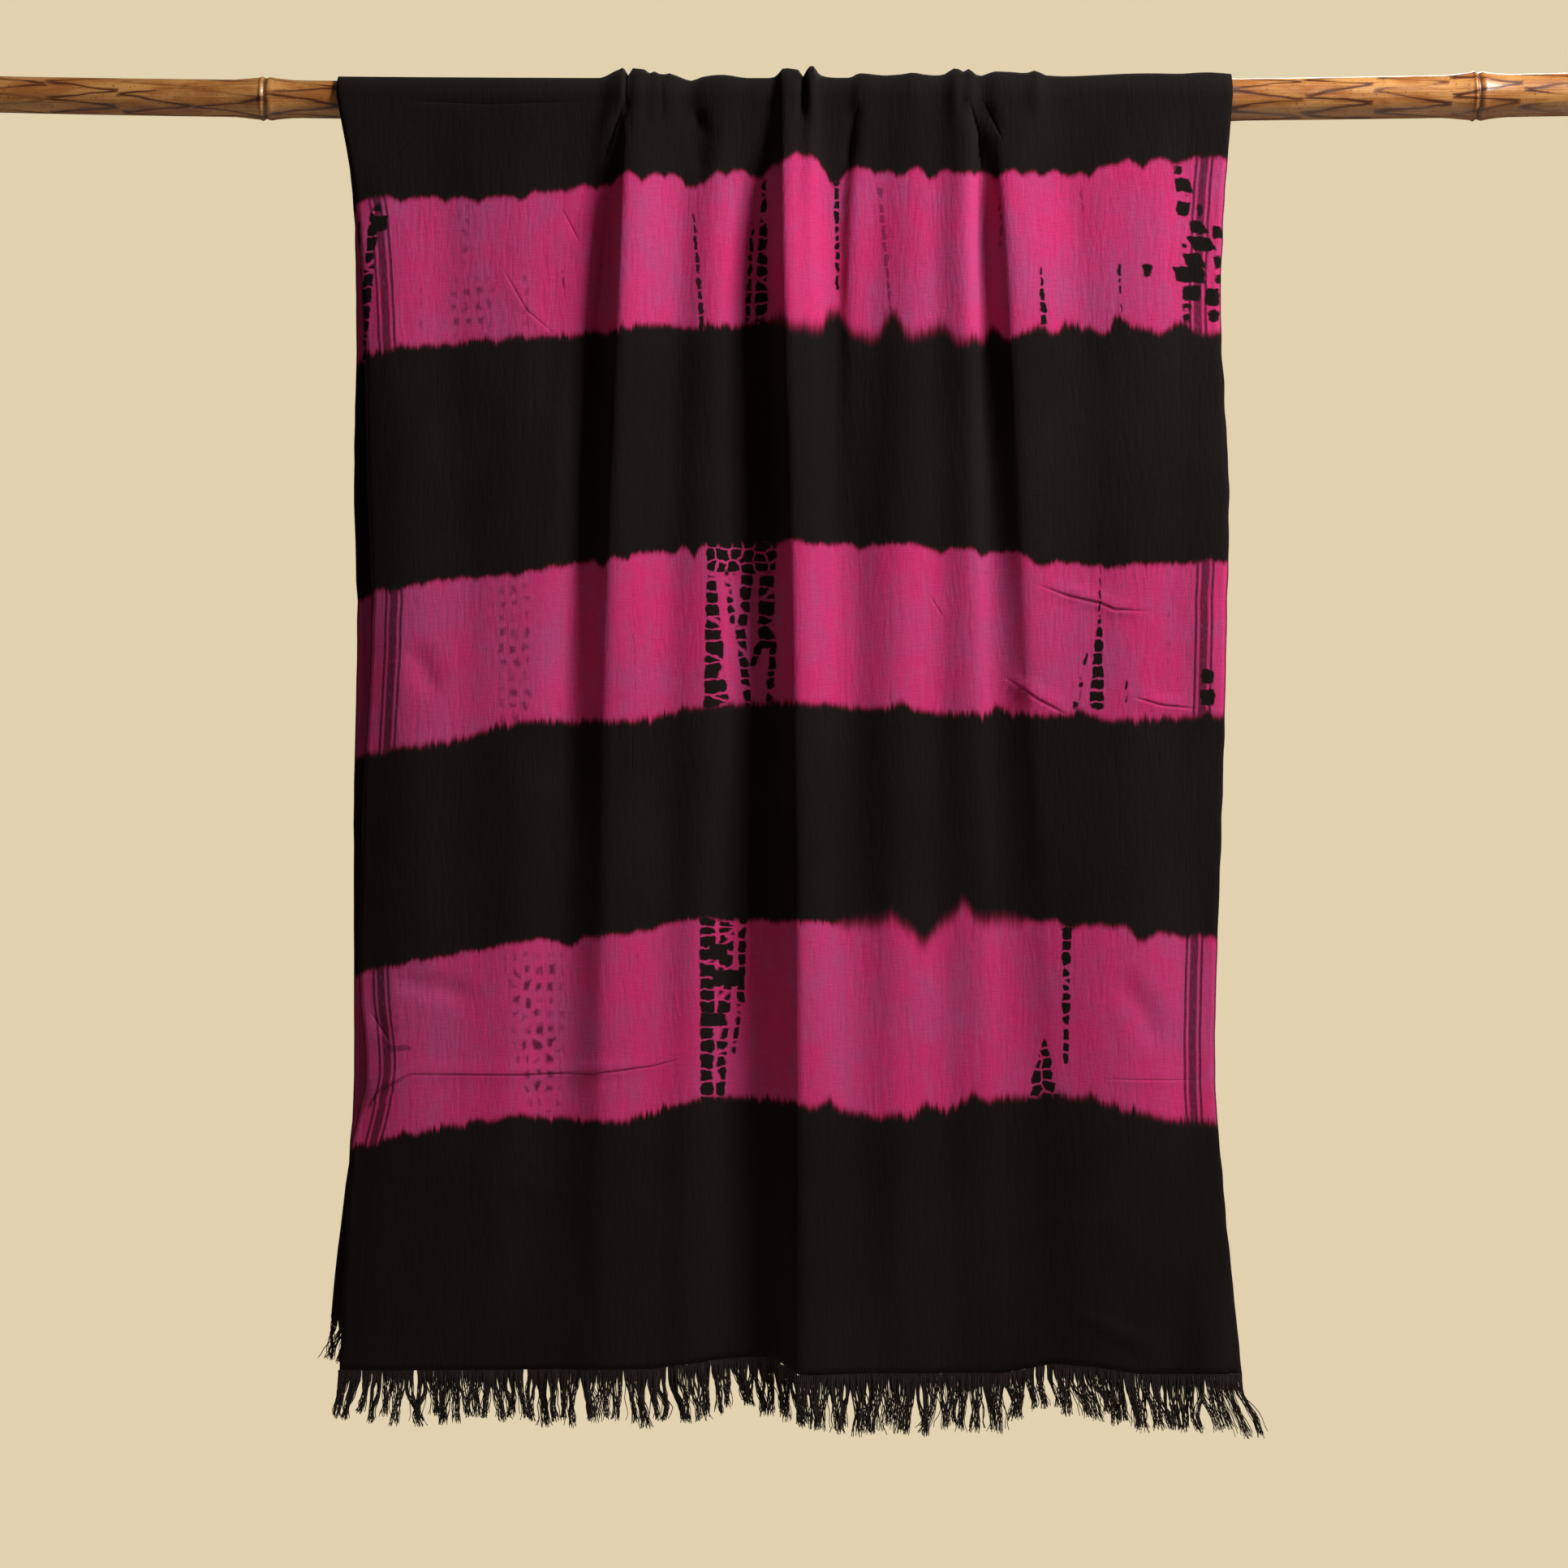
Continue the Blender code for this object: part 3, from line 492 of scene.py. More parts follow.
# Stage
FLOOR_TOP = -1.75
FLOOR_SIZE = (3.4, 2.6)
BACK_FILL_SHARE = 0.4
ROOM_GLOW = (1.0, 0.80, 0.62)
ROOM_GLOW_STRENGTH = 0.09


def metres(name, description, default, low, high):
    """A length property."""
    return bpy.props.FloatProperty(name=name, description=description, default=default,
                                   min=low, max=high, subtype="DISTANCE", unit="LENGTH",
                                   precision=4)


def colour(name, description, default):
    """A colour property, in linear values."""
    return bpy.props.FloatVectorProperty(name=name, description=description, default=default,
                                         min=0.0, max=1.0, size=3, subtype="COLOR")


def share_of(name, description, default):
    """A property from 0 to 1."""
    return bpy.props.FloatProperty(name=name, description=description, default=default,
                                   min=0.0, max=1.0, subtype="FACTOR")


class ClothSettings(bpy.types.PropertyGroup):
    """Sizes and colours of the dyed cotton."""

    thickness: metres("Thickness", "How thick the cotton is", 0.0007, 0.0002, 0.002)
    broad_waves: metres("Broad waves", "Unevenness about a hand wide", 0.0016, 0.0, 0.006)
    small_waves: metres("Small waves", "Unevenness about a finger wide", 0.0006, 0.0, 0.003)
    crinkle: metres("Crinkle", "Depth of the fine upright crinkles", 0.0009, 0.0, 0.003)
    weave: metres("Weave", "Depth of the weave's threads", 0.00014, 0.0, 0.001)
    pink: colour("Pink", "Resist-dyed bands where the dye took well", (0.585, 0.027, 0.162))
    # Mauve is the greyer patches' own colour, and also the painted shade toward the cloth's left
    # side.
    mauve: colour("Mauve", "Greyer patches in the bands", (0.430, 0.058, 0.212))
    # Crimson is the real bleed at the bands' edges, and also the painted shade along the thin crease
    # troughs.
    crimson: colour("Crimson", "Where the black bled into the pink", (0.170, 0.006, 0.030))
    plum: colour("Plum", "Stripes and faint marks", (0.050, 0.006, 0.018))
    black: colour("Black", "The dyed ground", (0.0060, 0.0036, 0.0036))


class FringeSettings(bpy.types.PropertyGroup):
    """Sizes and colours of the two fringes."""

    yarn: metres("Yarn", "How thick one yarn is", 0.00115, 0.0003, 0.002)
    yarns: bpy.props.IntProperty(name="Yarns", description="Yarns in each bundle",
                                 default=22, min=3, max=24)
    front_bundles: bpy.props.IntProperty(name="Front bundles", default=84, min=10, max=120,
                                         description="Bundles along the front hem")
    back_bundles: bpy.props.IntProperty(name="Back bundles", default=72, min=10, max=120,
                                        description="Bundles along the back hem")
    black: colour("Black", "The dyed yarn", (0.0095, 0.0066, 0.0070))


class RodSettings(bpy.types.PropertyGroup):
    """Sizes and colours of the bamboo rod."""

    sides: bpy.props.IntProperty(name="Sides", description="Points around the rod",
                                 default=64, min=16, max=96)
    wall: share_of("Wall", "Thickness of the bamboo's wall as a share of its radius", 0.30)
    bore_depth: metres("Bore depth", "Depth of the hollow seen at each end", 0.030, 0.0, 0.1)
    tan: colour("Tan", "Ripe bamboo", (0.340, 0.122, 0.026))
    straw: colour("Straw", "Paler bamboo", (0.560, 0.275, 0.085))
    scorch: colour("Scorch", "Burnt lines", (0.052, 0.010, 0.004))


class StageSettings(bpy.types.PropertyGroup):
    """Light and floor."""

    key_power: bpy.props.FloatProperty(name="Key light", description="Power of the key light",
                                       default=124.0, min=0.0, max=1000.0, unit="POWER")
    fill_power: bpy.props.FloatProperty(name="Fill light", description="Power of the fill light",
                                        default=2.4, min=0.0, max=1000.0, unit="POWER")
    backdrop: colour("Backdrop", "Colour behind the object", (0.76, 0.64, 0.43))
    floor: colour("Floor", "Colour of the floor", (0.80, 0.74, 0.64))


def clamp(value, low, high):
    """A value held between two limits."""
    return min(max(value, low), high)


def ease(value):
    """A smooth rise from 0 to 1 as the value goes from 0 to 1."""
    share = clamp(value, 0.0, 1.0)
    return share * share * (3.0 - 2.0 * share)


def curve_through(stations, values, at):
    """Read a smooth curve that passes through each value at its station."""
    last = len(stations) - 1
    at = clamp(at, stations[0], stations[last])
    i = next(k for k in range(last) if at <= stations[k + 1] or k == last - 1)

    def slope(k):
        low, high = max(k - 1, 0), min(k + 1, last)
        return (values[high] - values[low]) / (stations[high] - stations[low])

    span = stations[i + 1] - stations[i]
    t = (at - stations[i]) / span
    rise = values[i + 1] - values[i]
    start, end = slope(i) * span, slope(i + 1) * span
    cubic = start + end - 2.0 * rise
    square = 3.0 * rise - 2.0 * start - end
    return values[i] + t * (start + t * (square + t * cubic))


def line_through(rows, at):
    """Read straight lines through rows of (place, value)."""
    for (x0, v0), (x1, v1) in zip(rows, rows[1:]):
        if at <= x1:
            return v0 + (v1 - v0) * clamp((at - x0) / (x1 - x0), 0.0, 1.0)
    return rows[-1][1]


def rod_axis_height(x):
    """The rod's axis rises toward both ends, as the rod sags under the cloth."""
    half = ROD_LENGTH / 2.0
    reach = min(abs(x), half - ROD_LEVEL_END) / half
    return ROD_SAG * reach * reach


def rod_radius(x):
    """The rod is thicker toward its right and swells at its nodes."""
    share = clamp(x / ROD_LENGTH + 0.5, 0.0, 1.0)
    radius = ROD_RADIUS_LEFT + (ROD_RADIUS_RIGHT - ROD_RADIUS_LEFT) * share
    for node in ROD_NODES:
        reach = min(abs(x - node.x) / SWELL_HALF, 1.0)
        radius += node.swell * (0.5 + 0.5 * math.cos(math.pi * reach))
    return radius


def edge_at(side, down):
    """The left and right edge of one drop at a height below the rod's axis."""
    heights = [row.down for row in EDGES]
    lefts = [row.front_left if side == FRONT else row.back_left for row in EDGES]
    right = curve_through(heights, [row.right for row in EDGES], down)
    if side == BACK:
        right -= BACK_RIGHT_INSET * ease(down / ROD_GRIP)
    return curve_through(heights, lefts, down), right


def folds_at(side, down):
    """Each fold's place, flanks and depth at one height of one drop."""
    below_rod = ease(down / ROD_GRIP)
    low = down / FOLD_DOWN[-1]
    rows = []
    for fold in FOLDS:
        x = curve_through(FOLD_DOWN, fold.x, down)
        out = curve_through(FOLD_DOWN, fold.out, down)
        if side == BACK:
            x += BACK_FOLD_SHIFT * below_rod
            out *= 1.0 + (BACK_FOLD_DEPTH - 1.0) * below_rod
        if out < 0.0:
            out *= below_rod
        left = fold.left[0] + (fold.left[1] - fold.left[0]) * low
        right = fold.right[0] + (fold.right[1] - fold.right[0]) * low
        rows.append((x, left, right, fold.edge, out))
    return rows


def bump(offset, left, right, edge):
    """A fold's cross section: 1 at its line, and 0 at the foot of each flank."""
    on_left = offset < 0.0
    reach = min(abs(offset) / (left if on_left else right), 1.0)
    if edge == ("left" if on_left else "right"):
        return (1.0 - reach) ** SHARP_FLANK
    return 0.5 + 0.5 * math.cos(math.pi * reach)


def outward(rows, x):
    """How far the folds stand off the drop at one place across it."""
    return sum(out * bump(x - at, left, right, edge) for at, left, right, edge, out in rows
               if -left < x - at < right)


def cloth_columns(side, down):
    """Places across one row of the cloth, closer together where a fold is steep."""
    left, right = edge_at(side, down)
    rows = folds_at(side, down)
    xs = [left + (right - left) * i / PROFILE_SAMPLES for i in range(PROFILE_SAMPLES + 1)]
    outs = [outward(rows, x) for x in xs]
    run = [0.0]
    for i in range(PROFILE_SAMPLES):
        run.append(run[-1] + math.hypot(xs[i + 1] - xs[i], STEEP_PULL * (outs[i + 1] - outs[i])))
    columns = []
    k = 0
    for i in range(COLUMNS + 1):
        target = run[-1] * i / COLUMNS
        while k < PROFILE_SAMPLES - 1 and run[k + 1] < target:
            k += 1
        share = (target - run[k]) / (run[k + 1] - run[k])
        columns.append((xs[k] + (xs[k + 1] - xs[k]) * share,
                        outs[k] + (outs[k + 1] - outs[k]) * share))
    return columns


def pucker(x, down):
    """How far the small puckers beside the rod stand out."""
    out = 0.0
    for row in PUCKERS:
        reach = abs(x - row.x) / row.half
        if reach < 1.0 and down < row.reach:
            out += row.out * (0.5 + 0.5 * math.cos(math.pi * reach)) * ease(1.0 - down / row.reach)
    return out


def gap_to_line(line, x, down):
    """The signed gap to a line of straight spans, and the share of the way along it."""
    nearest, along = 1.0, 0.0
    for i, ((x0, d0), (x1, d1)) in enumerate(zip(line, line[1:])):
        run_x, run_d = x1 - x0, d1 - d0
        share = ((x - x0) * run_x + (down - d0) * run_d) / (run_x ** 2 + run_d ** 2)
        share = clamp(share, 0.0, 1.0)
        off_x, off_d = x - x0 - run_x * share, down - d0 - run_d * share
        gap = math.hypot(off_x, off_d)
        if gap < abs(nearest):
            side = run_x * off_d - run_d * off_x
            nearest, along = math.copysign(gap, side), (i + share) / (len(line) - 1)
    return nearest, along


def near_crease(row, x, down, reach):
    """Whether a point lies in the box around a crease."""
    xs, downs = zip(*row.line)
    return (min(xs) - reach < x < max(xs) + reach
            and min(downs) - reach < down < max(downs) + reach)


def end_fade(along):
    """1 along the middle of a crease, and 0 at its two ends."""
    return ease(3.0 * along) * ease(3.0 * (1.0 - along))


def crease(x, down):
    """How far the creases of the front drop stand out, as soft ridges and troughs."""
    out = 0.0
    for row in CREASES:
        half = max(row.half, CREASE_SOFT_HALF)
        if near_crease(row, x, down, half):
            gap, along = gap_to_line(row.line, x, down)
            if abs(gap) < half:
                out += row.out * end_fade(along) * (1.0 - abs(gap) / half) ** CREASE_SHARP
    return out


def unevenness(cloth, side, x, down):
    """The cloth's own soft waves, which no table gives."""
    broad = noise.noise(Vector((x * 9.0, down * 4.5, 3.0 * side)))
    small = noise.noise(Vector((x * 34.0, down * 13.0, 7.0 * side)))
    return cloth.broad_waves * broad + cloth.small_waves * small


def selvedge_wobble(x, left, right, down):
    """A slight waviness of the two selvedges."""
    gap = min(x - left, right - x)
    near = ease(1.0 - gap / SELVEDGE_REACH)
    return SELVEDGE_WAVER * near * noise.noise(Vector((down * 40.0, 5.0 if x < 0.0 else 9.0, 0.0)))


def wrap_radius(x):
    """How far from the rod's axis the middle of the cloth lies where it wraps over it."""
    return rod_radius(x) + CLOTH_OFF_ROD + SOLID_HALF_THICKNESS


def hem_height(side, x):
    """The height of one drop's hem at one place across it."""
    if side == FRONT:
        return -FRONT_DROP + line_through(HEM_RISES, x)
    return -BACK_DROP + BACK_HEM_RISE * clamp(x / ROD_LENGTH + 0.5, 0.0, 1.0)


def drop_row(cloth, side, share):
    """One row of a drop: share is 0 beside the rod and 1 at the hem."""
    length = FRONT_DROP if side == FRONT else BACK_DROP
    down = length * share
    left, right = edge_at(side, down)
    loose = ease(down / ROD_GRIP)
    row = []
    for x, out in cloth_columns(side, down):
        out += pucker(x, down) + unevenness(cloth, side, x, down) * loose
        if side == FRONT:
            out += crease(x, down)
        y = side * (wrap_radius(x) + out)
        top = rod_axis_height(x)
        wobble = selvedge_wobble(x, left, right, down) * loose
        row.append((x + wobble, y, top + (hem_height(side, x) - top) * share))
    return row


def wrap_row(share):
    """One row over the rod: share is 0 at its front and 1 at its back."""
    turn = math.pi * (share - 0.5)
    row = []
    for x, out in cloth_columns(FRONT, 0.0):
        radius = wrap_radius(x) + out + pucker(x, 0.0)
        row.append((x, radius * math.sin(turn), rod_axis_height(x) + radius * math.cos(turn)))
    return row


def cloth_rows(cloth):
    """The rows of the cloth from the front hem, over the rod, to the back hem."""
    fronts = [(i / FRONT_ROWS) ** ROWS_CLOSE_UP for i in range(FRONT_ROWS, 0, -1)]
    backs = [(i / BACK_ROWS) ** ROWS_CLOSE_UP for i in range(BACK_ROWS + 1)]
    rows = [drop_row(cloth, FRONT, share) for share in fronts]
    rows += [wrap_row(i / WRAP_ROWS) for i in range(WRAP_ROWS)]
    rows += [drop_row(cloth, BACK, share) for share in backs]
    return rows


def grid_mesh(name, rows):
    """A grid of quads whose points are placed row by row, and each point's (row, column)."""
    across, along = len(rows[0]) - 1, len(rows) - 1
    bm = bmesh.new()
    bmesh.ops.create_grid(bm, x_segments=across, y_segments=along, size=0.5)
    places = []
    for vert in bm.verts:
        column = round((vert.co.x + 0.5) * across)
        row = round((vert.co.y + 0.5) * along)
        vert.co = rows[row][column]
        places.append((row, column))
    mesh = bpy.data.meshes.new(name)
    bm.to_mesh(mesh)
    bm.free()
    return mesh, places


def band_edges(x):
    """Each band's (top, bottom) below the rod's axis, at one place across the cloth."""
    xs = [row.x for row in BAND_ROWS]
    edges = []
    for band in (1, 2, 3):
        top = curve_through(xs, [getattr(row, f"top_{band}") for row in BAND_ROWS], x)
        bottom = curve_through(xs, [getattr(row, f"bottom_{band}") for row in BAND_ROWS], x)
        for tongue in TONGUES:
            reach = abs(x - tongue.x) / tongue.half
            if tongue.band == band and reach < 1.0:
                deep = tongue.deep * (1.0 - reach) ** TONGUE_SHARP
                top += deep if tongue.edge == "top" else 0.0
                bottom -= deep if tongue.edge == "bottom" else 0.0
        edges.append((top, bottom))
    return edges


def edge_feel(edge, band, x):
    """How deep the scallops are and how far the dye bled, at one place of a band's edge."""
    total = scallop = feather = 0.0
    for row in EDGE_FEELS:
        if row.edge == edge and row.band == band:
            weight = ease((x - row.left) / FEEL_BLEND + 0.5)
            weight *= ease((row.right - x) / FEEL_BLEND + 0.5)
            total += weight
            scallop += weight * row.scallop
            feather += weight * row.feather
    return scallop / total, feather / total


def dye_numbers(x, down):
    """The nearest band's gaps to its two edges, and the feel of the nearer edge."""
    edges = band_edges(x)
    gaps = [min(down - top, bottom - down) for top, bottom in edges]
    band = gaps.index(max(gaps))
    top, bottom = edges[band]
    nearer = "top" if down - top < bottom - down else "bottom"
    scallop, feather = edge_feel(nearer, band + 1, clamp(x, -0.44, 0.44))
    return min(down - top, DEEPEST_GAP), min(bottom - down, DEEPEST_GAP), scallop, feather


def mark_numbers(mark, x, down):
    """A point's gap across a mark, the mark's half width there, and the gap to its ends."""
    share = (down - mark.down0) / (mark.down1 - mark.down0)
    across = x - mark.x0 - (mark.x1 - mark.x0) * share
    half = mark.half0 + (mark.half1 - mark.half0) * clamp(share, 0.0, 1.0)
    return across, half, min(down - mark.down0, mark.down1 - down)


def marks_apart(first, second):
    """Whether two marks are far enough apart to share a layer."""
    wide = max(first.half0, first.half1) + max(second.half0, second.half1)
    across = max(min(first.x0, first.x1), min(second.x0, second.x1))
    across -= min(max(first.x0, first.x1), max(second.x0, second.x1))
    down = max(first.down0, second.down0) - min(first.down1, second.down1)
    return across - wide > MARK_APART or down > MARK_APART_DOWN


def creases_apart(first, second):
    """Whether two creases are far enough apart to share a layer."""
    reach = MARK_REACH + CREASE_SOFT_HALF
    return not any(near_crease(first, x, down, 2.0 * reach) for x, down in second.line)


def share_out(items, apart):
    """Share items out over layers in which none are close together."""
    layers = []
    for item in items:
        for layer in layers:
            if all(apart(item, other) for other in layer):
                layer.append(item)
                break
        else:
            layers.append([item])
    return layers


def mark_layers(kind):
    """The marks of one kind, shared out so that near ones are in different layers."""
    return share_out([mark for mark in MARKS if mark.kind == kind], marks_apart)


def crest_layers():
    """The narrow creases, shared out in the same way."""
    narrow = [row for row in CREASES if row.half < CREASE_SOFT_HALF]
    return share_out(narrow, creases_apart)


def add_crests(mesh, spots, on_front):
    """Keep each point's gap to the nearest narrow crease, in half widths of its trough."""
    for i, layer in enumerate(crest_layers()):
        gaps, outs = [], []
        for (x, down), front in zip(spots, on_front):
            best, chosen = 1.0, (9.0, 0.0)
            for row in layer if front else ():
                if near_crease(row, x, down, row.half + 3.0 * MARK_REACH):
                    gap, along = gap_to_line(row.line, x, down)
                    if abs(gap) < best:
                        near = abs(gap) < row.half + MARK_REACH
                        deep = CREST_SHARE * abs(row.out) * end_fade(along) if near else 0.0
                        best, chosen = abs(gap), (gap / (CREST_WIDTH * row.half), -deep)
            gaps.append(chosen[0])
            outs.append(chosen[1])
        add_number(mesh, f"crest_{i}_gap", gaps)
        add_number(mesh, f"crest_{i}_out", outs)


def add_marks(mesh, spots):
    """Keep the marks' numbers for each point, from which the material draws them."""
    for kind in ("net", "ladder", "blot", "ghost"):
        for i, layer in enumerate(mark_layers(kind)):
            kept = {"across": [], "half": [], "end": [], "dark": []}
            for x, down in spots:
                best, chosen = -MARK_REACH, (0.0, FAR_OFF, FAR_OFF, layer[0].dark)
                for mark in layer:
                    if not mark.down0 - MARK_REACH < down < mark.down1 + MARK_REACH:
                        continue
                    across, half, end = mark_numbers(mark, x, down)
                    room = min(half - abs(across), end)
                    if room > best:
                        best, chosen = room, (across, half, end, mark.dark)
                for name, value in zip(kept, chosen):
                    kept[name].append(value)
            for name, values in kept.items():
                add_number(mesh, f"{kind}_{i}_{name}", values)


def add_number(mesh, name, values):
    """Keep one number for each point of a mesh, for its material to read."""
    attribute = mesh.attributes.new(name, "FLOAT", "POINT")
    attribute.data.foreach_set("value", values)


def add_places(mesh, name, spots):
    """Keep a pair of numbers for each corner of a mesh as a UV map."""
    layer = mesh.uv_layers.new(name=name, do_init=False)
    for loop, item in zip(mesh.loops, layer.data):
        item.uv = spots[loop.vertex_index]
    return layer


def row_runs(row):
    """How far along its row each point lies."""
    run = [0.0]
    for a, b in zip(row, row[1:]):
        run.append(run[-1] + math.dist(a, b))
    return run


def add_cloth_places(mesh, rows, places):
    """Store where each point lies on the cloth, in the bands and beside the selvedges."""
    runs = [row_runs(row) for row in rows]
    middle = len(rows[0]) // 2
    lengths = row_runs([row[middle] for row in rows])
    woven, hung = [], []
    kept = {"top_gap": [], "bottom_gap": [], "scallop": [], "feather": [], "selvedge_gap": []}
    for r, c in places:
        x, y, z = rows[r][c]
        run = runs[r]
        woven.append((run[c], lengths[r]))
        hung.append((x, -z))
        numbers = (*dye_numbers(x, -z), min(run[c], run[-1] - run[c]))
        for name, value in zip(kept, numbers):
            kept[name].append(value)
    add_places(mesh, "Woven", woven)
    add_places(mesh, "Hung", hung)
    for name, values in kept.items():
        add_number(mesh, name, values)
    add_marks(mesh, hung)
    add_crests(mesh, hung, [r < FRONT_ROWS for r, c in places])


def add_bake_places(mesh, rows, places):
    """A UV map that lays the front half and the back half of the cloth side by side."""
    layer = mesh.uv_layers.new(name="OFBake", do_init=False)
    last_row, last_column = len(rows) - 1, len(rows[0]) - 1
    fold = FRONT_ROWS + WRAP_ROWS // 2
    margin = 0.006
    for face in mesh.polygons:
        on_front = all(places[v][0] <= fold for v in face.vertices)
        first, last = (0, fold) if on_front else (fold, last_row)
        for i in face.loop_indices:
            row, column = places[mesh.loops[i].vertex_index]
            across = margin + (0.5 - 2.0 * margin) * column / last_column
            along = margin + (1.0 - 2.0 * margin) * (row - first) / (last - first)
            layer.data[i].uv = (across if on_front else 0.5 + across, along)
    mesh.uv_layers.active = layer


class Graph:
    """Adds and links the nodes of one material or of the world."""

    def __init__(self, tree):
        self.tree = tree

    def add(self, kind, **settings):
        """A new node with the given settings."""
        node = self.tree.nodes.new("ShaderNode" + kind)
        for name, value in settings.items():
            setattr(node, name, value)
        return node

    def feed(self, socket, value):
        """Link a socket to another one, or set its value."""
        if isinstance(value, bpy.types.NodeSocket):
            self.tree.links.new(value, socket)
        elif socket.type == "RGBA" and len(value) == 3:
            socket.default_value = (*value, 1.0)
        else:
            socket.default_value = value

    def math(self, operation, *values, clamped=False):
        """One sum, product or function of numbers."""
        node = self.add("Math", operation=operation, use_clamp=clamped)
        for socket, value in zip(node.inputs, values):
            self.feed(socket, value)
        return node.outputs[0]

    def span(self, value, low, high, to_low=0.0, to_high=1.0, smooth=True, clamped=True):
        """Map a value from one range to another."""
        kind = "SMOOTHSTEP" if smooth else "LINEAR"
        node = self.add("MapRange", interpolation_type=kind, clamp=clamped)
        for socket, item in zip(node.inputs, (value, low, high, to_low, to_high)):
            self.feed(socket, item)
        return node.outputs[0]

    def largest(self, values):
        """The largest of several values."""
        result = values[0]
        for value in values[1:]:
            result = self.math("MAXIMUM", result, value)
        return result

    def rounded(self, first, second):
        """The smaller of two gaps, less where they are alike, so that corners come out round."""
        both = self.math("MULTIPLY", first, second)
        return self.math("DIVIDE", both, self.math("ADD", self.math("ADD", first, second), 1e-6))

    def mix(self, factor, first, second, blend="MIX"):
        """Two colours mixed by a factor from 0 to 1."""
        node = self.add("Mix", data_type="RGBA", blend_type=blend)
        self.feed(node.inputs[0], factor)
        self.feed(node.inputs[6], first)
        self.feed(node.inputs[7], second)
        return node.outputs[2]

    def stretch(self, vector, scales):
        """A vector scaled along each of its axes."""
        node = self.add("VectorMath", operation="MULTIPLY")
        self.feed(node.inputs[0], vector)
        self.feed(node.inputs[1], scales)
        return node.outputs[0]

    def noise(self, vector, scales, detail=2.0, roughness=0.5, distortion=0.0, flat=True):
        """Noise from 0 to 1 whose lumps are 1 / scales across."""
        node = self.add("TexNoise", noise_dimensions="2D" if flat else "3D")
        self.feed(node.inputs["Vector"], self.stretch(vector, scales))
        node.inputs["Scale"].default_value = 1.0
        node.inputs["Detail"].default_value = detail
        node.inputs["Roughness"].default_value = roughness
        node.inputs["Distortion"].default_value = distortion
        return node.outputs[0]

    def cells(self, vector, cells):
        """The gap in metres to the nearest edge of irregular cells."""
        node = self.add("TexVoronoi", voronoi_dimensions="2D", feature="DISTANCE_TO_EDGE")
        self.feed(node.inputs["Vector"], self.stretch(vector, cells.a_metre))
        node.inputs["Scale"].default_value = 1.0
        node.inputs["Randomness"].default_value = cells.irregular
        return self.math("MULTIPLY", node.outputs["Distance"], cells.gap)

    def centred(self, value, depth):
        """A value from 0 to 1 as a swing about 0 that is depth wide in all."""
        return self.math("MULTIPLY", self.math("SUBTRACT", value, 0.5), depth)

    def grey(self, value):
        """A number as a grey colour."""
        node = self.add("CombineColor")
        for socket in node.inputs:
            self.feed(socket, value)
        return node.outputs[0]

    def bump(self, height, distance, strength=1.0, normal=None):
        """A normal tilted by a height, which may start from another normal."""
        node = self.add("Bump")
        node.inputs["Strength"].default_value = strength
        node.inputs["Distance"].default_value = distance
        self.feed(node.inputs["Height"], height)
        if normal is not None:
            self.feed(node.inputs["Normal"], normal)
        return node.outputs[0]

    def places(self, name):
        """A UV map as a vector."""
        return self.add("UVMap", uv_map=name).outputs[0]

    def number(self, name):
        """A number kept on the mesh's points."""
        return self.add("Attribute", attribute_name=name).outputs["Fac"]

    def parts(self, vector):
        """The first two numbers of a vector."""
        node = self.add("SeparateXYZ")
        self.feed(node.inputs[0], vector)
        return node.outputs[0], node.outputs[1]


def new_material(name):
    """An empty material, its graph and its shader."""
    material = bpy.data.materials.new(name)
    material.use_nodes = True
    return material, Graph(material.node_tree), material.node_tree.nodes["Principled BSDF"]


def mark_shape(graph, layer, wander, sway, cell_gap, softness):
    """The cells of one layer of marks, rounded where a mark's side meets a cell's wall."""
    across = graph.math("ABSOLUTE", graph.math("ADD", graph.number(layer + "_across"), wander))
    side = graph.math("SUBTRACT", graph.number(layer + "_half"), across)
    end = graph.math("ADD", graph.number(layer + "_end"), sway)
    room = graph.rounded(graph.math("MAXIMUM", side, 0.0), graph.math("MAXIMUM", end, 0.0))
    rounded = graph.rounded(room, cell_gap)
    inside = graph.span(rounded, softness[0], softness[1])
    return graph.math("MULTIPLY", inside, graph.number(layer + "_dark"))


def marks_of(graph, kind, wander, sway, cell_gap, softness):
    """The largest of all layers of marks of one kind."""
    shapes = []
    for i in range(len(mark_layers(kind))):
        shapes.append(mark_shape(graph, f"{kind}_{i}", wander, sway, cell_gap, softness))
    return graph.largest(shapes)


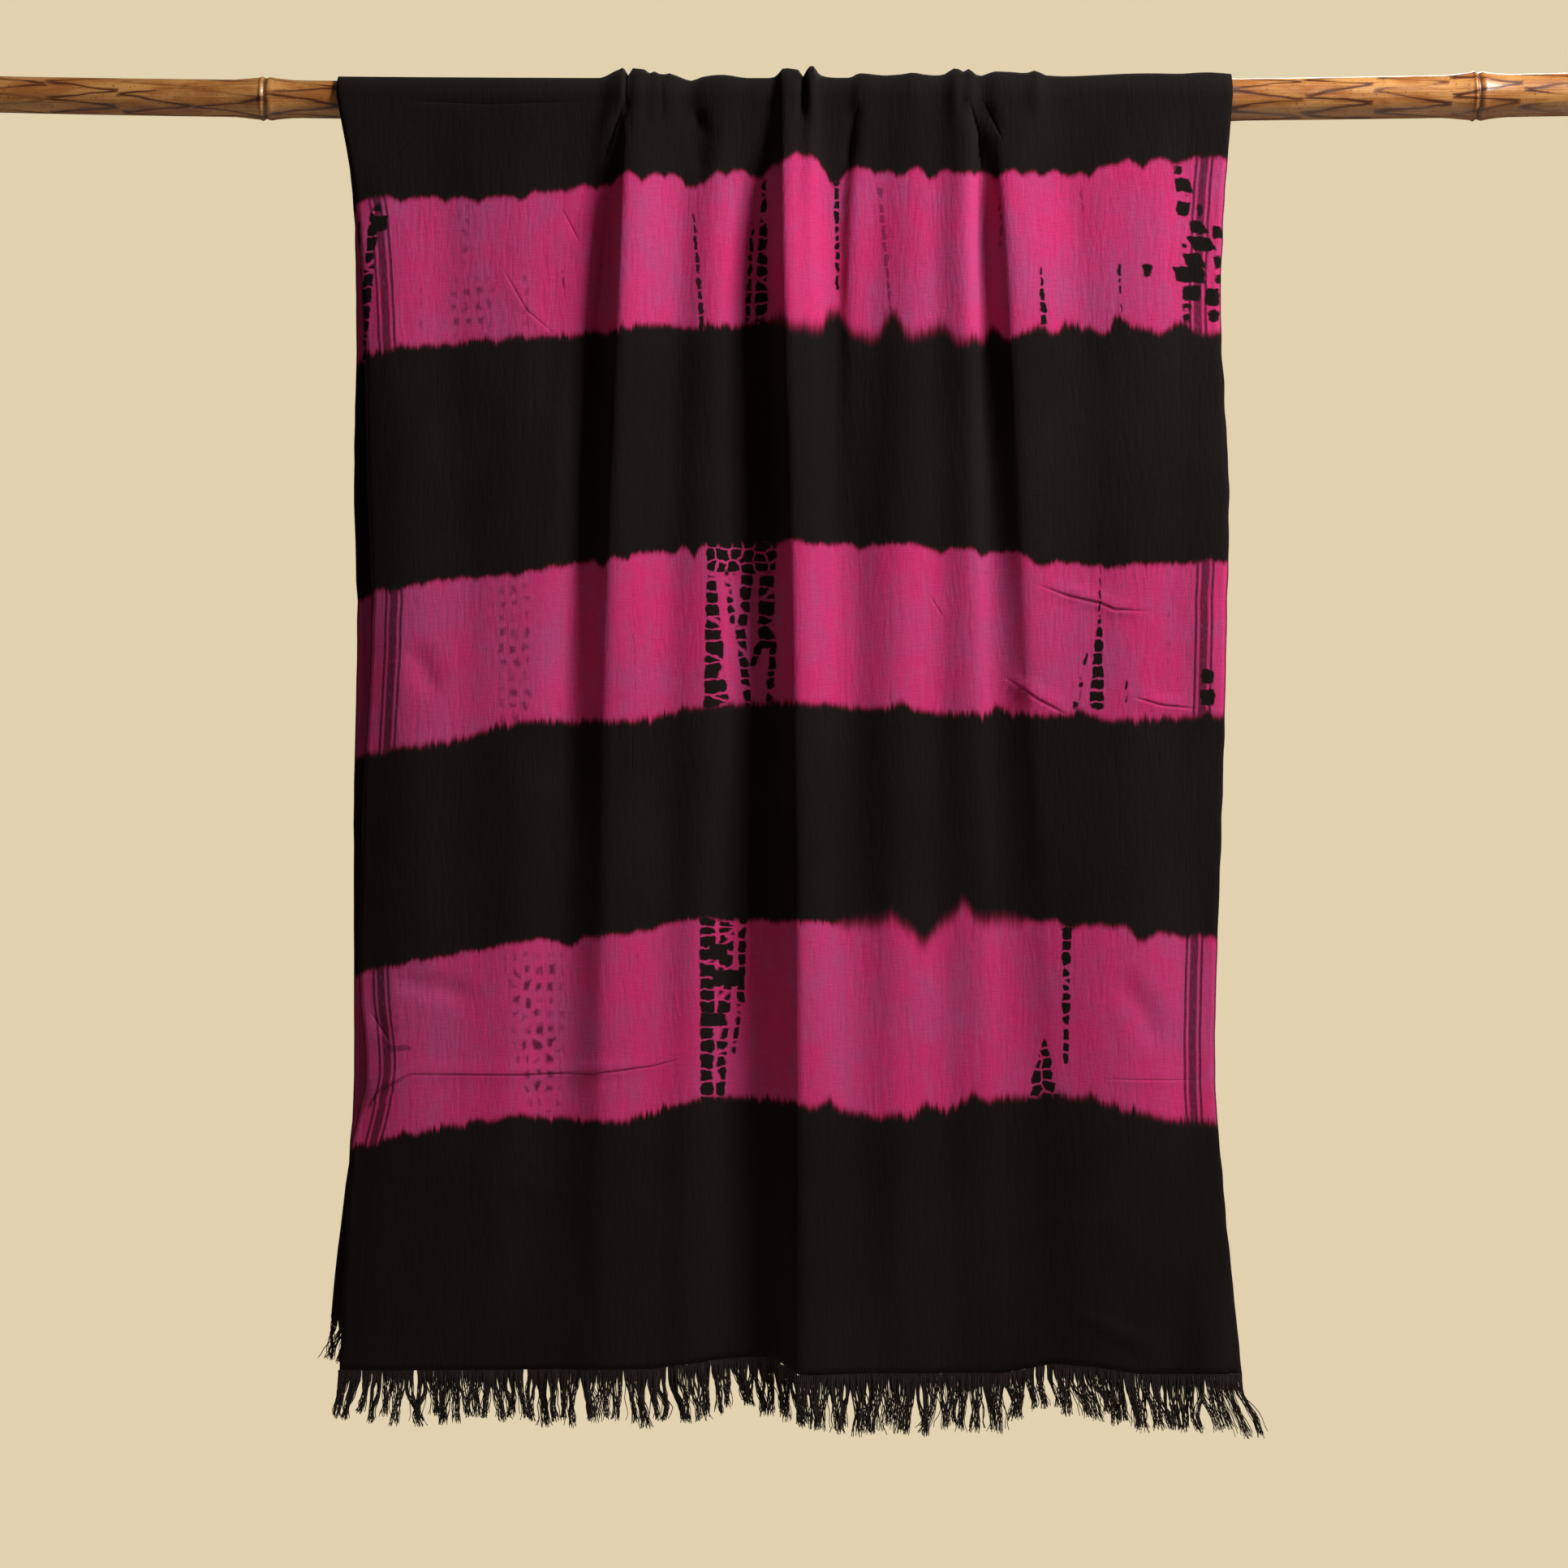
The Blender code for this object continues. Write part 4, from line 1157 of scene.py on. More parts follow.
def band_mask(graph, hung):
    """How much a point lies in a dyed band, and how deep inside it."""
    x, down = graph.parts(hung)
    domes = graph.add("TexVoronoi", voronoi_dimensions="1D", feature="F1")
    graph.feed(domes.inputs["W"], graph.math("MULTIPLY", x, DOMES_A_METRE))
    domes.inputs["Scale"].default_value = 1.0
    domes.inputs["Randomness"].default_value = 0.85
    distance = domes.outputs["Distance"]
    dome = graph.math("MULTIPLY", graph.math("MULTIPLY", distance, distance), DOME_DEPTH)
    dome = graph.math("MULTIPLY", dome, graph.number("scallop"))
    lumps = graph.noise(hung, (62.0, 16.0, 1.0), detail=2.0, roughness=0.6)
    jags = graph.noise(hung, (330.0, 34.0, 1.0), detail=2.0, roughness=0.7)
    spikes = graph.noise(hung, (240.0, 9.0, 1.0), detail=2.0, roughness=0.75)
    uneven = graph.centred(lumps, LUMP_DEPTH)
    calm = graph.math("MULTIPLY_ADD", graph.number("scallop"), TOP_JAGS_CALMED, TOP_JAGS)
    top_jag = graph.centred(jags, calm)
    bristly = graph.span(graph.noise(hung, (24.0, 5.0, 1.0), detail=1.0), 0.35, 0.65, *LOW_JAGS)
    low_jag = graph.centred(spikes, bristly)
    from_top = graph.math("SUBTRACT", graph.number("top_gap"), dome)
    from_top = graph.math("ADD", from_top, graph.math("ADD", uneven, top_jag))
    from_bottom = graph.math("SUBTRACT", graph.number("bottom_gap"), dome)
    from_bottom = graph.math("ADD", from_bottom, graph.math("SUBTRACT", low_jag, uneven))
    room = graph.math("MINIMUM", from_top, from_bottom)
    feather = graph.number("feather")
    inside = graph.span(room, graph.math("MULTIPLY", feather, -1.0), feather)
    deep = graph.span(room, graph.math("MULTIPLY", feather, -0.6),
                      graph.math("MULTIPLY_ADD", feather, 1.6, 0.0016))
    return inside, deep


def resist_marks(graph, hung):
    """The black cells and the faint marks inside the bands, each from 0 to 1."""
    ragged = graph.noise(hung, (170.0, 120.0, 1.0), detail=2.0)
    wander = graph.centred(ragged, WANDER)
    lifted = graph.noise(hung, (120.0, 190.0, 1.0), detail=2.0)
    sway = graph.centred(lifted, SWAY)
    x, down = graph.parts(hung)
    bent = graph.add("CombineXYZ")
    graph.feed(bent.inputs[0], graph.math("ADD", x, wander))
    graph.feed(bent.inputs[1], graph.math("ADD", down, sway))
    bent = bent.outputs[0]

    net_gap = graph.cells(bent, NET_CELLS)
    net = marks_of(graph, "net", wander, sway, net_gap, (0.0005, 0.0011))
    rung_gap = graph.cells(bent, RUNG_CELLS)
    ladder = marks_of(graph, "ladder", wander, sway, rung_gap, (0.00035, 0.0009))
    blots = marks_of(graph, "blot", wander, sway, BLOT_GAP, (0.0004, 0.0012))
    black = graph.largest([net, ladder, blots])

    print_gap = graph.cells(bent, PRINT_CELLS)
    patchy = graph.span(graph.noise(hung, (34.0, 50.0, 1.0), detail=3.0), 0.34, 0.56, 0.25, 1.0)
    ghosts = marks_of(graph, "ghost", wander, sway, print_gap, (0.0014, 0.0038))
    return black, graph.math("MULTIPLY", ghosts, patchy)


def woven_stripes(graph, woven):
    """The stripes beside each selvedge, from 0 to 1."""
    gap = graph.number("selvedge_gap")
    threads = graph.noise(woven, (900.0, 160.0, 1.0), detail=1.0)
    inside = []
    for stripe in STRIPES:
        off = graph.math("ABSOLUTE", graph.math("SUBTRACT", gap, stripe.inset))
        edge = graph.span(off, stripe.half * 0.75, stripe.half * 1.25, stripe.dark, 0.0)
        inside.append(edge)
    return graph.math("MULTIPLY", graph.largest(inside), graph.span(threads, 0.1, 0.6, 0.7, 1.0))


def pink_dye(graph, cloth, hung, woven):
    """The colour of the bands: pink threads with greyer, mauve patches, and painted shade that turns
    them greyer and darker toward the left.
    """
    x, _down = graph.parts(hung)
    clouds = graph.noise(hung, (13.0, 9.0, 1.0), detail=2.0, roughness=0.6)
    mottle = graph.noise(hung, (70.0, 46.0, 1.0), detail=2.0, roughness=0.65)
    upright = graph.noise(hung, (95.0, 9.0, 1.0), detail=2.0, roughness=0.6)
    speckle = graph.noise(woven, (780.0, 780.0, 1.0), detail=1.0)
    weft = graph.noise(woven, (60.0, 1150.0, 1.0), detail=1.0)
    warp = graph.noise(woven, (1150.0, 60.0, 1.0), detail=1.0)
    # Painted shade: the pink turns greyer and darker toward the left of the cloth, away from the
    # light on the right.
    left = graph.span(x, -0.12, -0.32, 0.0, 0.20)
    grey = graph.math("ADD", graph.span(clouds, 0.32, 0.74, 0.0, 0.55), left)
    grey = graph.math("ADD", grey, graph.span(mottle, 0.40, 0.75, 0.0, 0.30))
    grey = graph.math("ADD", grey, graph.span(upright, 0.42, 0.72, 0.0, 0.25))
    grain = graph.math("ADD", graph.math("SUBTRACT", speckle, 0.5), graph.math("SUBTRACT", warp, 0.5))
    grey = graph.math("MULTIPLY_ADD", grain, 0.60, grey, clamped=True)
    dyed = graph.mix(grey, tuple(cloth.pink), tuple(cloth.mauve))
    threads = graph.span(graph.math("ADD", weft, speckle), 0.7, 1.3, 0.88, 1.08, smooth=False)
    return graph.mix(1.0, dyed, graph.grey(threads), blend="MULTIPLY")


def crest_height(graph):
    """The thin troughs along the narrow creases, in metres below the cloth."""
    height = 0.0
    for i in range(len(crest_layers())):
        gap = graph.math("ABSOLUTE", graph.number(f"crest_{i}_gap"))
        room = graph.math("MAXIMUM", graph.math("SUBTRACT", 1.0, gap), 0.0)
        crest = graph.math("MULTIPLY", room, room)
        height = graph.math("MULTIPLY_ADD", crest, graph.number(f"crest_{i}_out"), height)
    return height


def cloth_relief(graph, cloth, hung, woven):
    """The normal of the cotton: its creases, its crinkles and its threads."""
    crinkle = graph.noise(hung, (120.0, 22.0, 1.0), detail=2.0, roughness=0.6)
    ridges = graph.math("ABSOLUTE", graph.math("SUBTRACT", crinkle, 0.5))
    height = graph.math("MULTIPLY_ADD", ridges, -1.2 * cloth.crinkle, crest_height(graph))
    pressed = graph.bump(height, 1.0)
    across, along = graph.parts(woven)
    warp = graph.math("SINE", graph.math("MULTIPLY", across, 2.0 * math.pi / WARP_PITCH))
    weft = graph.math("SINE", graph.math("MULTIPLY", along, 2.0 * math.pi / WEFT_PITCH))
    slubs = graph.noise(woven, (70.0, 900.0, 1.0), detail=1.0)
    weave = graph.math("MULTIPLY_ADD", graph.math("MULTIPLY", warp, weft), 0.5, slubs)
    return graph.bump(weave, cloth.weave, normal=pressed)


def dyed_cotton(cloth):
    """Black cotton with pink resist-dyed bands, with painted shade in the pink: darker along the thin
    crease troughs and greyer toward the left.
    """
    material, graph, shader = new_material("dyed cotton")
    hung = graph.places("Hung")
    woven = graph.places("Woven")
    inside, deep = band_mask(graph, hung)
    black_marks, ghosts = resist_marks(graph, hung)
    stripes = woven_stripes(graph, woven)

    pink = pink_dye(graph, cloth, hung, woven)
    # Painted shade: the pink is darkened toward crimson along the thin crease troughs, the deeper the
    # trough the darker.
    painted_crease_shade = graph.span(crest_height(graph), -0.0020, 0.0, 0.40, 0.0)
    pink = graph.mix(painted_crease_shade, pink, tuple(cloth.crimson))
    pink = graph.mix(deep, tuple(cloth.crimson), pink)
    pink = graph.mix(graph.math("MULTIPLY", ghosts, 0.85), pink, tuple(cloth.plum))
    pink = graph.mix(stripes, pink, tuple(cloth.plum))
    clouds = graph.noise(hung, (7.0, 5.0, 1.0), detail=2.0, roughness=0.6)
    threads = graph.noise(woven, (300.0, 800.0, 1.0), detail=2.0)
    tone = graph.math("MULTIPLY", graph.span(clouds, 0.3, 0.7, 0.75, 1.25),
                      graph.span(threads, 0.25, 0.75, 0.75, 1.3))
    black = graph.mix(1.0, tuple(cloth.black), graph.grey(tone), blend="MULTIPLY")
    lit = graph.math("MULTIPLY", inside, graph.math("SUBTRACT", 1.0, black_marks))
    graph.feed(shader.inputs["Base Color"], graph.mix(lit, black, pink))

    graph.feed(shader.inputs["Roughness"], graph.span(threads, 0.2, 0.8, 0.82, 0.96))
    graph.feed(shader.inputs["Normal"], cloth_relief(graph, cloth, hung, woven))
    shader.inputs["Specular IOR Level"].default_value = 0.14
    shader.inputs["Sheen Weight"].default_value = 0.02
    shader.inputs["Sheen Roughness"].default_value = 0.45
    return material


def fringe_cotton(fringe):
    """Loose black cotton yarn."""
    material, graph, shader = new_material("fringe yarn")
    place = graph.add("TexCoord").outputs["Object"]
    tone = graph.noise(place, (180.0, 180.0, 60.0), detail=2.0, flat=False)
    brown = tuple(min(1.0, v * f) for v, f in zip(fringe.black, (2.4, 1.9, 1.8)))
    worn = graph.mix(graph.span(tone, 0.35, 0.75), tuple(fringe.black), brown)
    graph.feed(shader.inputs["Base Color"], worn)
    graph.feed(shader.inputs["Roughness"], graph.span(tone, 0.3, 0.7, 0.78, 0.95))
    twist = graph.noise(place, (900.0, 900.0, 500.0), detail=1.0, flat=False)
    graph.feed(shader.inputs["Normal"], graph.bump(twist, 0.0003, strength=0.8))
    shader.inputs["Specular IOR Level"].default_value = 0.25
    shader.inputs["Sheen Weight"].default_value = 0.05
    shader.inputs["Sheen Roughness"].default_value = 0.5
    return material


def burnt_loops(graph, place):
    """Hairpin lines burnt into the skin, each column winding back and forth along the rod."""
    x, turn = graph.parts(place)
    drift = graph.noise(place, (14.0, 60.0, 1.0), detail=2.0)
    drift = graph.math("SUBTRACT", drift, 0.5)
    along = graph.math("MULTIPLY_ADD", drift, 0.20, graph.math("DIVIDE", x, LOOP_PITCH))
    column = graph.math("FLOOR", along)
    local = graph.math("SUBTRACT", graph.math("SUBTRACT", along, column), 0.5)
    chance = graph.add("TexWhiteNoise", noise_dimensions="1D")
    graph.feed(chance.inputs["W"], column)
    phase = graph.math("MULTIPLY", chance.outputs["Value"], 6.0)
    phase = graph.math("MULTIPLY_ADD", drift, 3.0, phase)
    angle = graph.math("MULTIPLY_ADD", turn, 2.0 * math.pi / LOOP_RISE, phase)
    reach = graph.math("MULTIPLY", graph.math("SINE", angle), LOOP_REACH)
    off = graph.math("MULTIPLY", graph.math("SUBTRACT", local, reach), LOOP_PITCH)
    slope = graph.math("MULTIPLY", graph.math("COSINE", angle),
                       2.0 * math.pi * LOOP_REACH * LOOP_PITCH / LOOP_RISE)
    slope = graph.math("SQRT", graph.math("MULTIPLY_ADD", slope, slope, 1.0))
    gap = graph.math("DIVIDE", graph.math("ABSOLUTE", off), slope)
    bend = graph.math("ABSOLUTE", graph.math("SINE", angle))
    bend = graph.math("POWER", bend, 3.5)
    half = graph.math("MULTIPLY_ADD", bend, 0.0023, 0.0007)
    patches = graph.span(graph.noise(place, (9.0, 30.0, 1.0), detail=2.0), 0.30, 0.50, 0.25, 1.0)
    line = graph.span(gap, graph.math("MULTIPLY", half, 0.3), graph.math("MULTIPLY", half, 1.5),
                      1.0, 0.0)
    glow = graph.span(gap, 0.0, graph.math("MULTIPLY", half, 4.0), 1.0, 0.0)
    return graph.math("MULTIPLY", line, patches), graph.math("MULTIPLY", glow, patches)


def scorched_bamboo(rod):
    """Varnished bamboo with burnt serpentine lines."""
    material, graph, shader = new_material("scorched bamboo")
    place = graph.places("Along rod")
    fibre = graph.noise(place, (9.0, 620.0, 1.0), detail=3.0, roughness=0.65)
    clouds = graph.noise(place, (16.0, 42.0, 1.0), detail=4.0, roughness=0.6)
    ripe = graph.math("MULTIPLY_ADD", graph.math("SUBTRACT", fibre, 0.5), 0.55, clouds)
    skin = graph.mix(graph.span(ripe, 0.32, 0.68), tuple(rod.tan), tuple(rod.straw))
    burn, halo = burnt_loops(graph, place)
    specks = graph.span(graph.noise(place, (260.0, 420.0, 1.0), detail=2.0), 0.66, 0.74, 0.0, 0.8)
    rim = graph.number("node_ring")
    rust = (rod.scorch[0] * 3.0, rod.scorch[1] * 3.2, rod.scorch[2] * 2.4)
    skin = graph.mix(graph.math("MULTIPLY", halo, 0.55), skin, rust)
    skin = graph.mix(graph.math("MULTIPLY", burn, 0.90), skin, tuple(rod.scorch))
    skin = graph.mix(specks, skin, rust)
    skin = graph.mix(graph.math("MULTIPLY", rim, 0.85), skin, tuple(rod.scorch))
    skin = graph.mix(graph.number("cut_face"), skin, tuple(rod.straw))
    graph.feed(shader.inputs["Base Color"], skin)
    scuffs = graph.noise(place, (40.0, 300.0, 1.0), detail=3.0)
    graph.feed(shader.inputs["Roughness"], graph.span(scuffs, 0.3, 0.7, 0.26, 0.48))
    grain = graph.math("MULTIPLY_ADD", burn, -0.5, fibre)
    graph.feed(shader.inputs["Normal"], graph.bump(grain, 0.0005, strength=0.7))
    shader.inputs["Coat Weight"].default_value = 0.25
    shader.inputs["Coat Roughness"].default_value = 0.22
    return material


def plain_material(name, shade, roughness):
    """A softly mottled plain finish, for the stage."""
    material, graph, shader = new_material(name)
    place = graph.add("TexCoord").outputs["Object"]
    tone = graph.noise(place, (3.0, 3.0, 3.0), detail=3.0, flat=False)
    darker = tuple(v * 0.94 for v in shade)
    graph.feed(shader.inputs["Base Color"], graph.mix(tone, tuple(shade), darker))
    shader.inputs["Roughness"].default_value = roughness
    return material


def show_piece(name, mesh, material):
    """Link a finished mesh, and ride it on the body."""
    mesh.materials.clear()
    mesh.materials.append(material)
    piece = bpy.data.objects.new(name, mesh)
    bpy.context.scene.collection.objects.link(piece)
    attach(piece, BODY)
    return piece


def hem_points(row):
    """A hem's points and how far along it each lies."""
    return [Vector(point) for point in row], row_runs(row)


def along_hem(points, run, at):
    """The point of a hem that lies a given distance along it."""
    k = 0
    while k < len(points) - 2 and run[k + 1] < at:
        k += 1
    share = (at - run[k]) / (run[k + 1] - run[k])
    return points[k].lerp(points[k + 1], clamp(share, 0.0, 1.0))


def yarn_path(chance, root, tip, offset, width, split, length, swing):
    """The points of one yarn, from inside the hem to its frayed end."""
    wave = chance.uniform(0.5, 1.4) * 0.0011
    turns = chance.uniform(1.4, 3.0)
    start = chance.uniform(0.0, 2.0 * math.pi)
    depth = chance.uniform(-1.0, 1.0)
    reach = 1.0 + chance.uniform(-0.09, 0.05)
    bow = math.copysign(split, offset)
    strays = 2.6 if chance.random() < STRAY_SHARE else 1.0
    end_offset = chance.uniform(-1.0, 1.0) * strays
    path = []
    for i in range(YARN_POINTS):
        share = i / (YARN_POINTS - 1)
        at = share * reach
        spread = line_through(BUNDLE_WIDTHS, at)
        bend = ease(share) * (2.0 - ease(share))
        almond = math.sin(math.pi * clamp((share - 0.14) / 0.66, 0.0, 1.0)) ** 1.5
        crossed = ease(1.5 * share - 0.3)
        place = offset + (end_offset - offset) * crossed
        x = root.x + tip.x * bend * share + place * width * spread + bow * almond
        x += swing[0] * share * math.sin(swing[1] + swing[2] * share)
        x += wave * share * math.sin(start + 2.0 * math.pi * turns * share)
        y = root.y + tip.y * share + depth * BUNDLE_DEPTH * spread * ease(4.0 * share)
        y += wave * share * math.cos(start + 2.0 * math.pi * turns * share)
        z = root.z + HEM_TUCK - (length * at + HEM_TUCK)
        path.append((x, y, z))
    return path


def fringe_mesh(name, row, rows, bundles, fringe, seed):
    """All the yarns under one hem as one mesh."""
    chance = random.Random(seed)
    points, run = hem_points(row)
    curve = bpy.data.curves.new(name, "CURVE")
    curve.dimensions = "3D"
    curve.bevel_depth = fringe.yarn / 2.0
    curve.bevel_resolution = 0
    curve.use_fill_caps = True
    pitch = run[-1] / bundles
    lengths = [(r.x, r.length) for r in rows]
    leans = [(r.x, r.lean) for r in rows]
    for i in range(bundles):
        middle = (i + 0.5 + chance.uniform(-0.10, 0.10)) * pitch
        x = along_hem(points, run, middle).x
        length = line_through(lengths, x) * (1.0 + chance.uniform(-0.13, 0.08))
        pair = PAIR_LEAN * (1.0 if i % 2 == 0 else -1.0) * chance.uniform(-0.2, 1.0)
        lean = line_through(leans, x) + pair + chance.gauss(0.0, 0.0022)
        tip = Vector((lean, chance.gauss(0.0, 0.0022), 0.0))
        split = chance.uniform(0.0, 0.0024) if chance.random() < 0.7 else 0.0
        thin = chance.uniform(0.8, 1.1)
        breadth = chance.uniform(0.62, 1.35)
        swing = (chance.gauss(0.0, SWING), chance.uniform(0.0, 6.3), chance.uniform(3.0, 7.0))
        for j in range(fringe.yarns):
            offset = 2.0 * (j + 0.5) / fringe.yarns - 1.0
            offset += chance.uniform(-0.5, 0.5) / fringe.yarns
            at = middle + offset * pitch * ROOT_SHARE
            at = clamp(at, ROOT_INSET, run[-1] - ROOT_INSET)
            base = along_hem(points, run, middle)
            spot = along_hem(points, run, at)
            root = Vector((base.x, spot.y, spot.z))
            width = breadth * (spot.x - base.x) / offset
            path = yarn_path(chance, root, tip, offset, width, split, length, swing)
            spline = curve.splines.new("POLY")
            spline.points.add(YARN_POINTS - 1)
            for k, point in enumerate(path):
                spline.points[k].co = (*point, 1.0)
                spline.points[k].radius = thin * (1.0 - 0.35 * (k / (YARN_POINTS - 1)) ** 2)
    holder = bpy.data.objects.new(name, curve)
    bpy.context.scene.collection.objects.link(holder)
    mesh = bpy.data.meshes.new_from_object(holder.evaluated_get(
        bpy.context.evaluated_depsgraph_get()))
    bpy.data.objects.remove(holder)
    mesh.name = name
    mesh.shade_smooth()
    return mesh


def rod_stations(rod):
    """Rings along the rod as (x, radius, ring darkness, cut face), end to end."""
    half = ROD_LENGTH / 2.0
    xs = {round(-half + ROD_LENGTH * i / ROD_STEPS, 6) for i in range(ROD_STEPS + 1)}
    for node in ROD_NODES:
        for i in range(-NODE_STEPS, NODE_STEPS + 1):
            xs.add(round(node.x + RING_HALF * 1.6 * i / NODE_STEPS, 6))
    inner = 1.0 - rod.wall
    left, right = rod_radius(-half), rod_radius(half)
    stations = [(-half + rod.bore_depth, BORE_POINT, 0.0, 1.0),
                (-half + rod.bore_depth, left * inner * BORE_TAPER, 0.0, 1.0),
                (-half, left * inner, 0.0, 1.0),
                (-half, left - CHAMFER, 0.0, 1.0)]
    for x in sorted(xs):
        radius, dark = rod_radius(x), 0.0
        for node in ROD_NODES:
            offset = (x - node.x) / RING_HALF
            rim = math.exp(-((offset + 0.42) / 0.26) ** 2)
            shoulder = math.exp(-((offset - 1.00) / 0.50) ** 2)
            groove = math.exp(-((offset - 0.20) / 0.30) ** 2)
            radius += node.ring * (rim + 0.55 * shoulder - 0.70 * groove)
            if node.ring > 0.0:
                dark = max(dark, groove)
        stations.append((x, radius, dark, 0.0))
    stations += [(half, right - CHAMFER, 0.0, 1.0),
                 (half, right * inner, 0.0, 1.0),
                 (half - rod.bore_depth, right * inner * BORE_TAPER, 0.0, 1.0),
                 (half - rod.bore_depth, BORE_POINT, 0.0, 1.0)]
    return stations


def rod_mesh(rod):
    """The bamboo as one closed skin, with its nodes, its cut ends and their hollows."""
    stations = rod_stations(rod)
    rows, darks, cuts, places = [], [], [], []
    for x, radius, dark, cut in stations:
        row = []
        for i in range(rod.sides + 1):
            turn = 2.0 * math.pi * (i % rod.sides) / rod.sides
            lump = noise.noise(Vector((x * 6.0, 2.0 * math.cos(turn), 2.0 * math.sin(turn))))
            r = radius * (1.0 + 0.010 * lump * (1.0 - cut))
            row.append((x, r * math.cos(turn), rod_axis_height(x) + r * math.sin(turn)))
        rows.append(row)
    mesh, spots = grid_mesh("bamboo_rod_skin", rows)
    for r, c in spots:
        x, radius, dark, cut = stations[r]
        darks.append(dark)
        cuts.append(cut)
        places.append((x, 2.0 * math.pi * ROD_RADIUS_RIGHT * c / rod.sides))
    add_number(mesh, "node_ring", darks)
    add_number(mesh, "cut_face", cuts)
    add_places(mesh, "Along rod", places)
    bm = bmesh.new()
    bm.from_mesh(mesh)
    bmesh.ops.remove_doubles(bm, verts=bm.verts[:], dist=0.000002)
    bmesh.ops.holes_fill(bm, edges=[edge for edge in bm.edges if edge.is_boundary])
    bmesh.ops.recalc_face_normals(bm, faces=bm.faces[:])
    bm.to_mesh(mesh)
    bm.free()
    mesh.shade_smooth()
    mesh.set_sharp_from_angle(angle=math.radians(50.0))
    return mesh


class SHIBORI_OT_lay_rod(bpy.types.Operator):
    """Build the bamboo rod with its nodes and scorched skin"""

    bl_idname = "shibori.lay_rod"
    bl_label = "Lay the bamboo rod"

    def execute(self, context):
        rod = context.scene.shibori_rod
        piece = show_piece("bamboo_rod_skin", rod_mesh(rod), scorched_bamboo(rod))
        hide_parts("bamboo_rod")
        return {"FINISHED"}


class SHIBORI_OT_hang_cloth(bpy.types.Operator):
    """Hang the dyed cotton over the rod with its fringes"""

    bl_idname = "shibori.hang_cloth"
    bl_label = "Hang the cloth and its fringes"

    def execute(self, context):
        cloth = context.scene.shibori_cloth
        fringe = context.scene.shibori_fringe
        rows = cloth_rows(cloth)
        mesh, places = grid_mesh("cloth_sheet", rows)
        add_cloth_places(mesh, rows, places)
        add_bake_places(mesh, rows, places)
        mesh.shade_smooth()
        sheet = show_piece("cloth_sheet", mesh, dyed_cotton(cloth))
        shell = sheet.modifiers.new("Cotton thickness", "SOLIDIFY")
        shell.thickness = cloth.thickness
        shell.offset = 0.0
        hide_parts("dyed_cloth")

        yarn = fringe_cotton(fringe)
        front = fringe_mesh("front_yarns", rows[0], FRONT_FRINGE_ROWS, fringe.front_bundles,
                            fringe, FRONT_SEED)
        back = fringe_mesh("back_yarns", rows[-1], BACK_FRINGE_ROWS, fringe.back_bundles,
                           fringe, BACK_SEED)
        front = show_piece("front_yarns", front, yarn)
        back = show_piece("back_yarns", back, yarn)
        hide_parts("front_fringe")
        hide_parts("back_fringe")
        return {"FINISHED"}


def area_light(name, place, target, size, power, shade):
    """A soft box aimed at a point."""
    light = bpy.data.lights.new(name, "AREA")
    light.shape = "SQUARE"
    light.size = size
    light.energy = power
    light.color = shade
    lamp = bpy.data.objects.new(name, light)
    lamp.location = place
    lamp.rotation_euler = (Vector(target) - Vector(place)).to_track_quat("-Z", "Y").to_euler()
    bpy.context.scene.collection.objects.link(lamp)
    return lamp


def set_backdrop(stage):
    """A plain warm backdrop that lights the object only a little."""
    world = bpy.data.worlds.new("Studio")
    bpy.context.scene.world = world
    world.use_nodes = True
    graph = Graph(world.node_tree)
    world.node_tree.nodes.clear()
    seen = graph.add("Background")
    graph.feed(seen.inputs[0], tuple(stage.backdrop))
    seen.inputs[1].default_value = 1.0
    lit = graph.add("Background")
    graph.feed(lit.inputs[0], ROOM_GLOW)
    lit.inputs[1].default_value = ROOM_GLOW_STRENGTH
    choose = graph.add("MixShader")
    graph.feed(choose.inputs[0], graph.add("LightPath").outputs["Is Camera Ray"])
    graph.feed(choose.inputs[1], lit.outputs[0])
    graph.feed(choose.inputs[2], seen.outputs[0])
    end = graph.add("OutputWorld")
    graph.feed(end.inputs[0], choose.outputs[0])


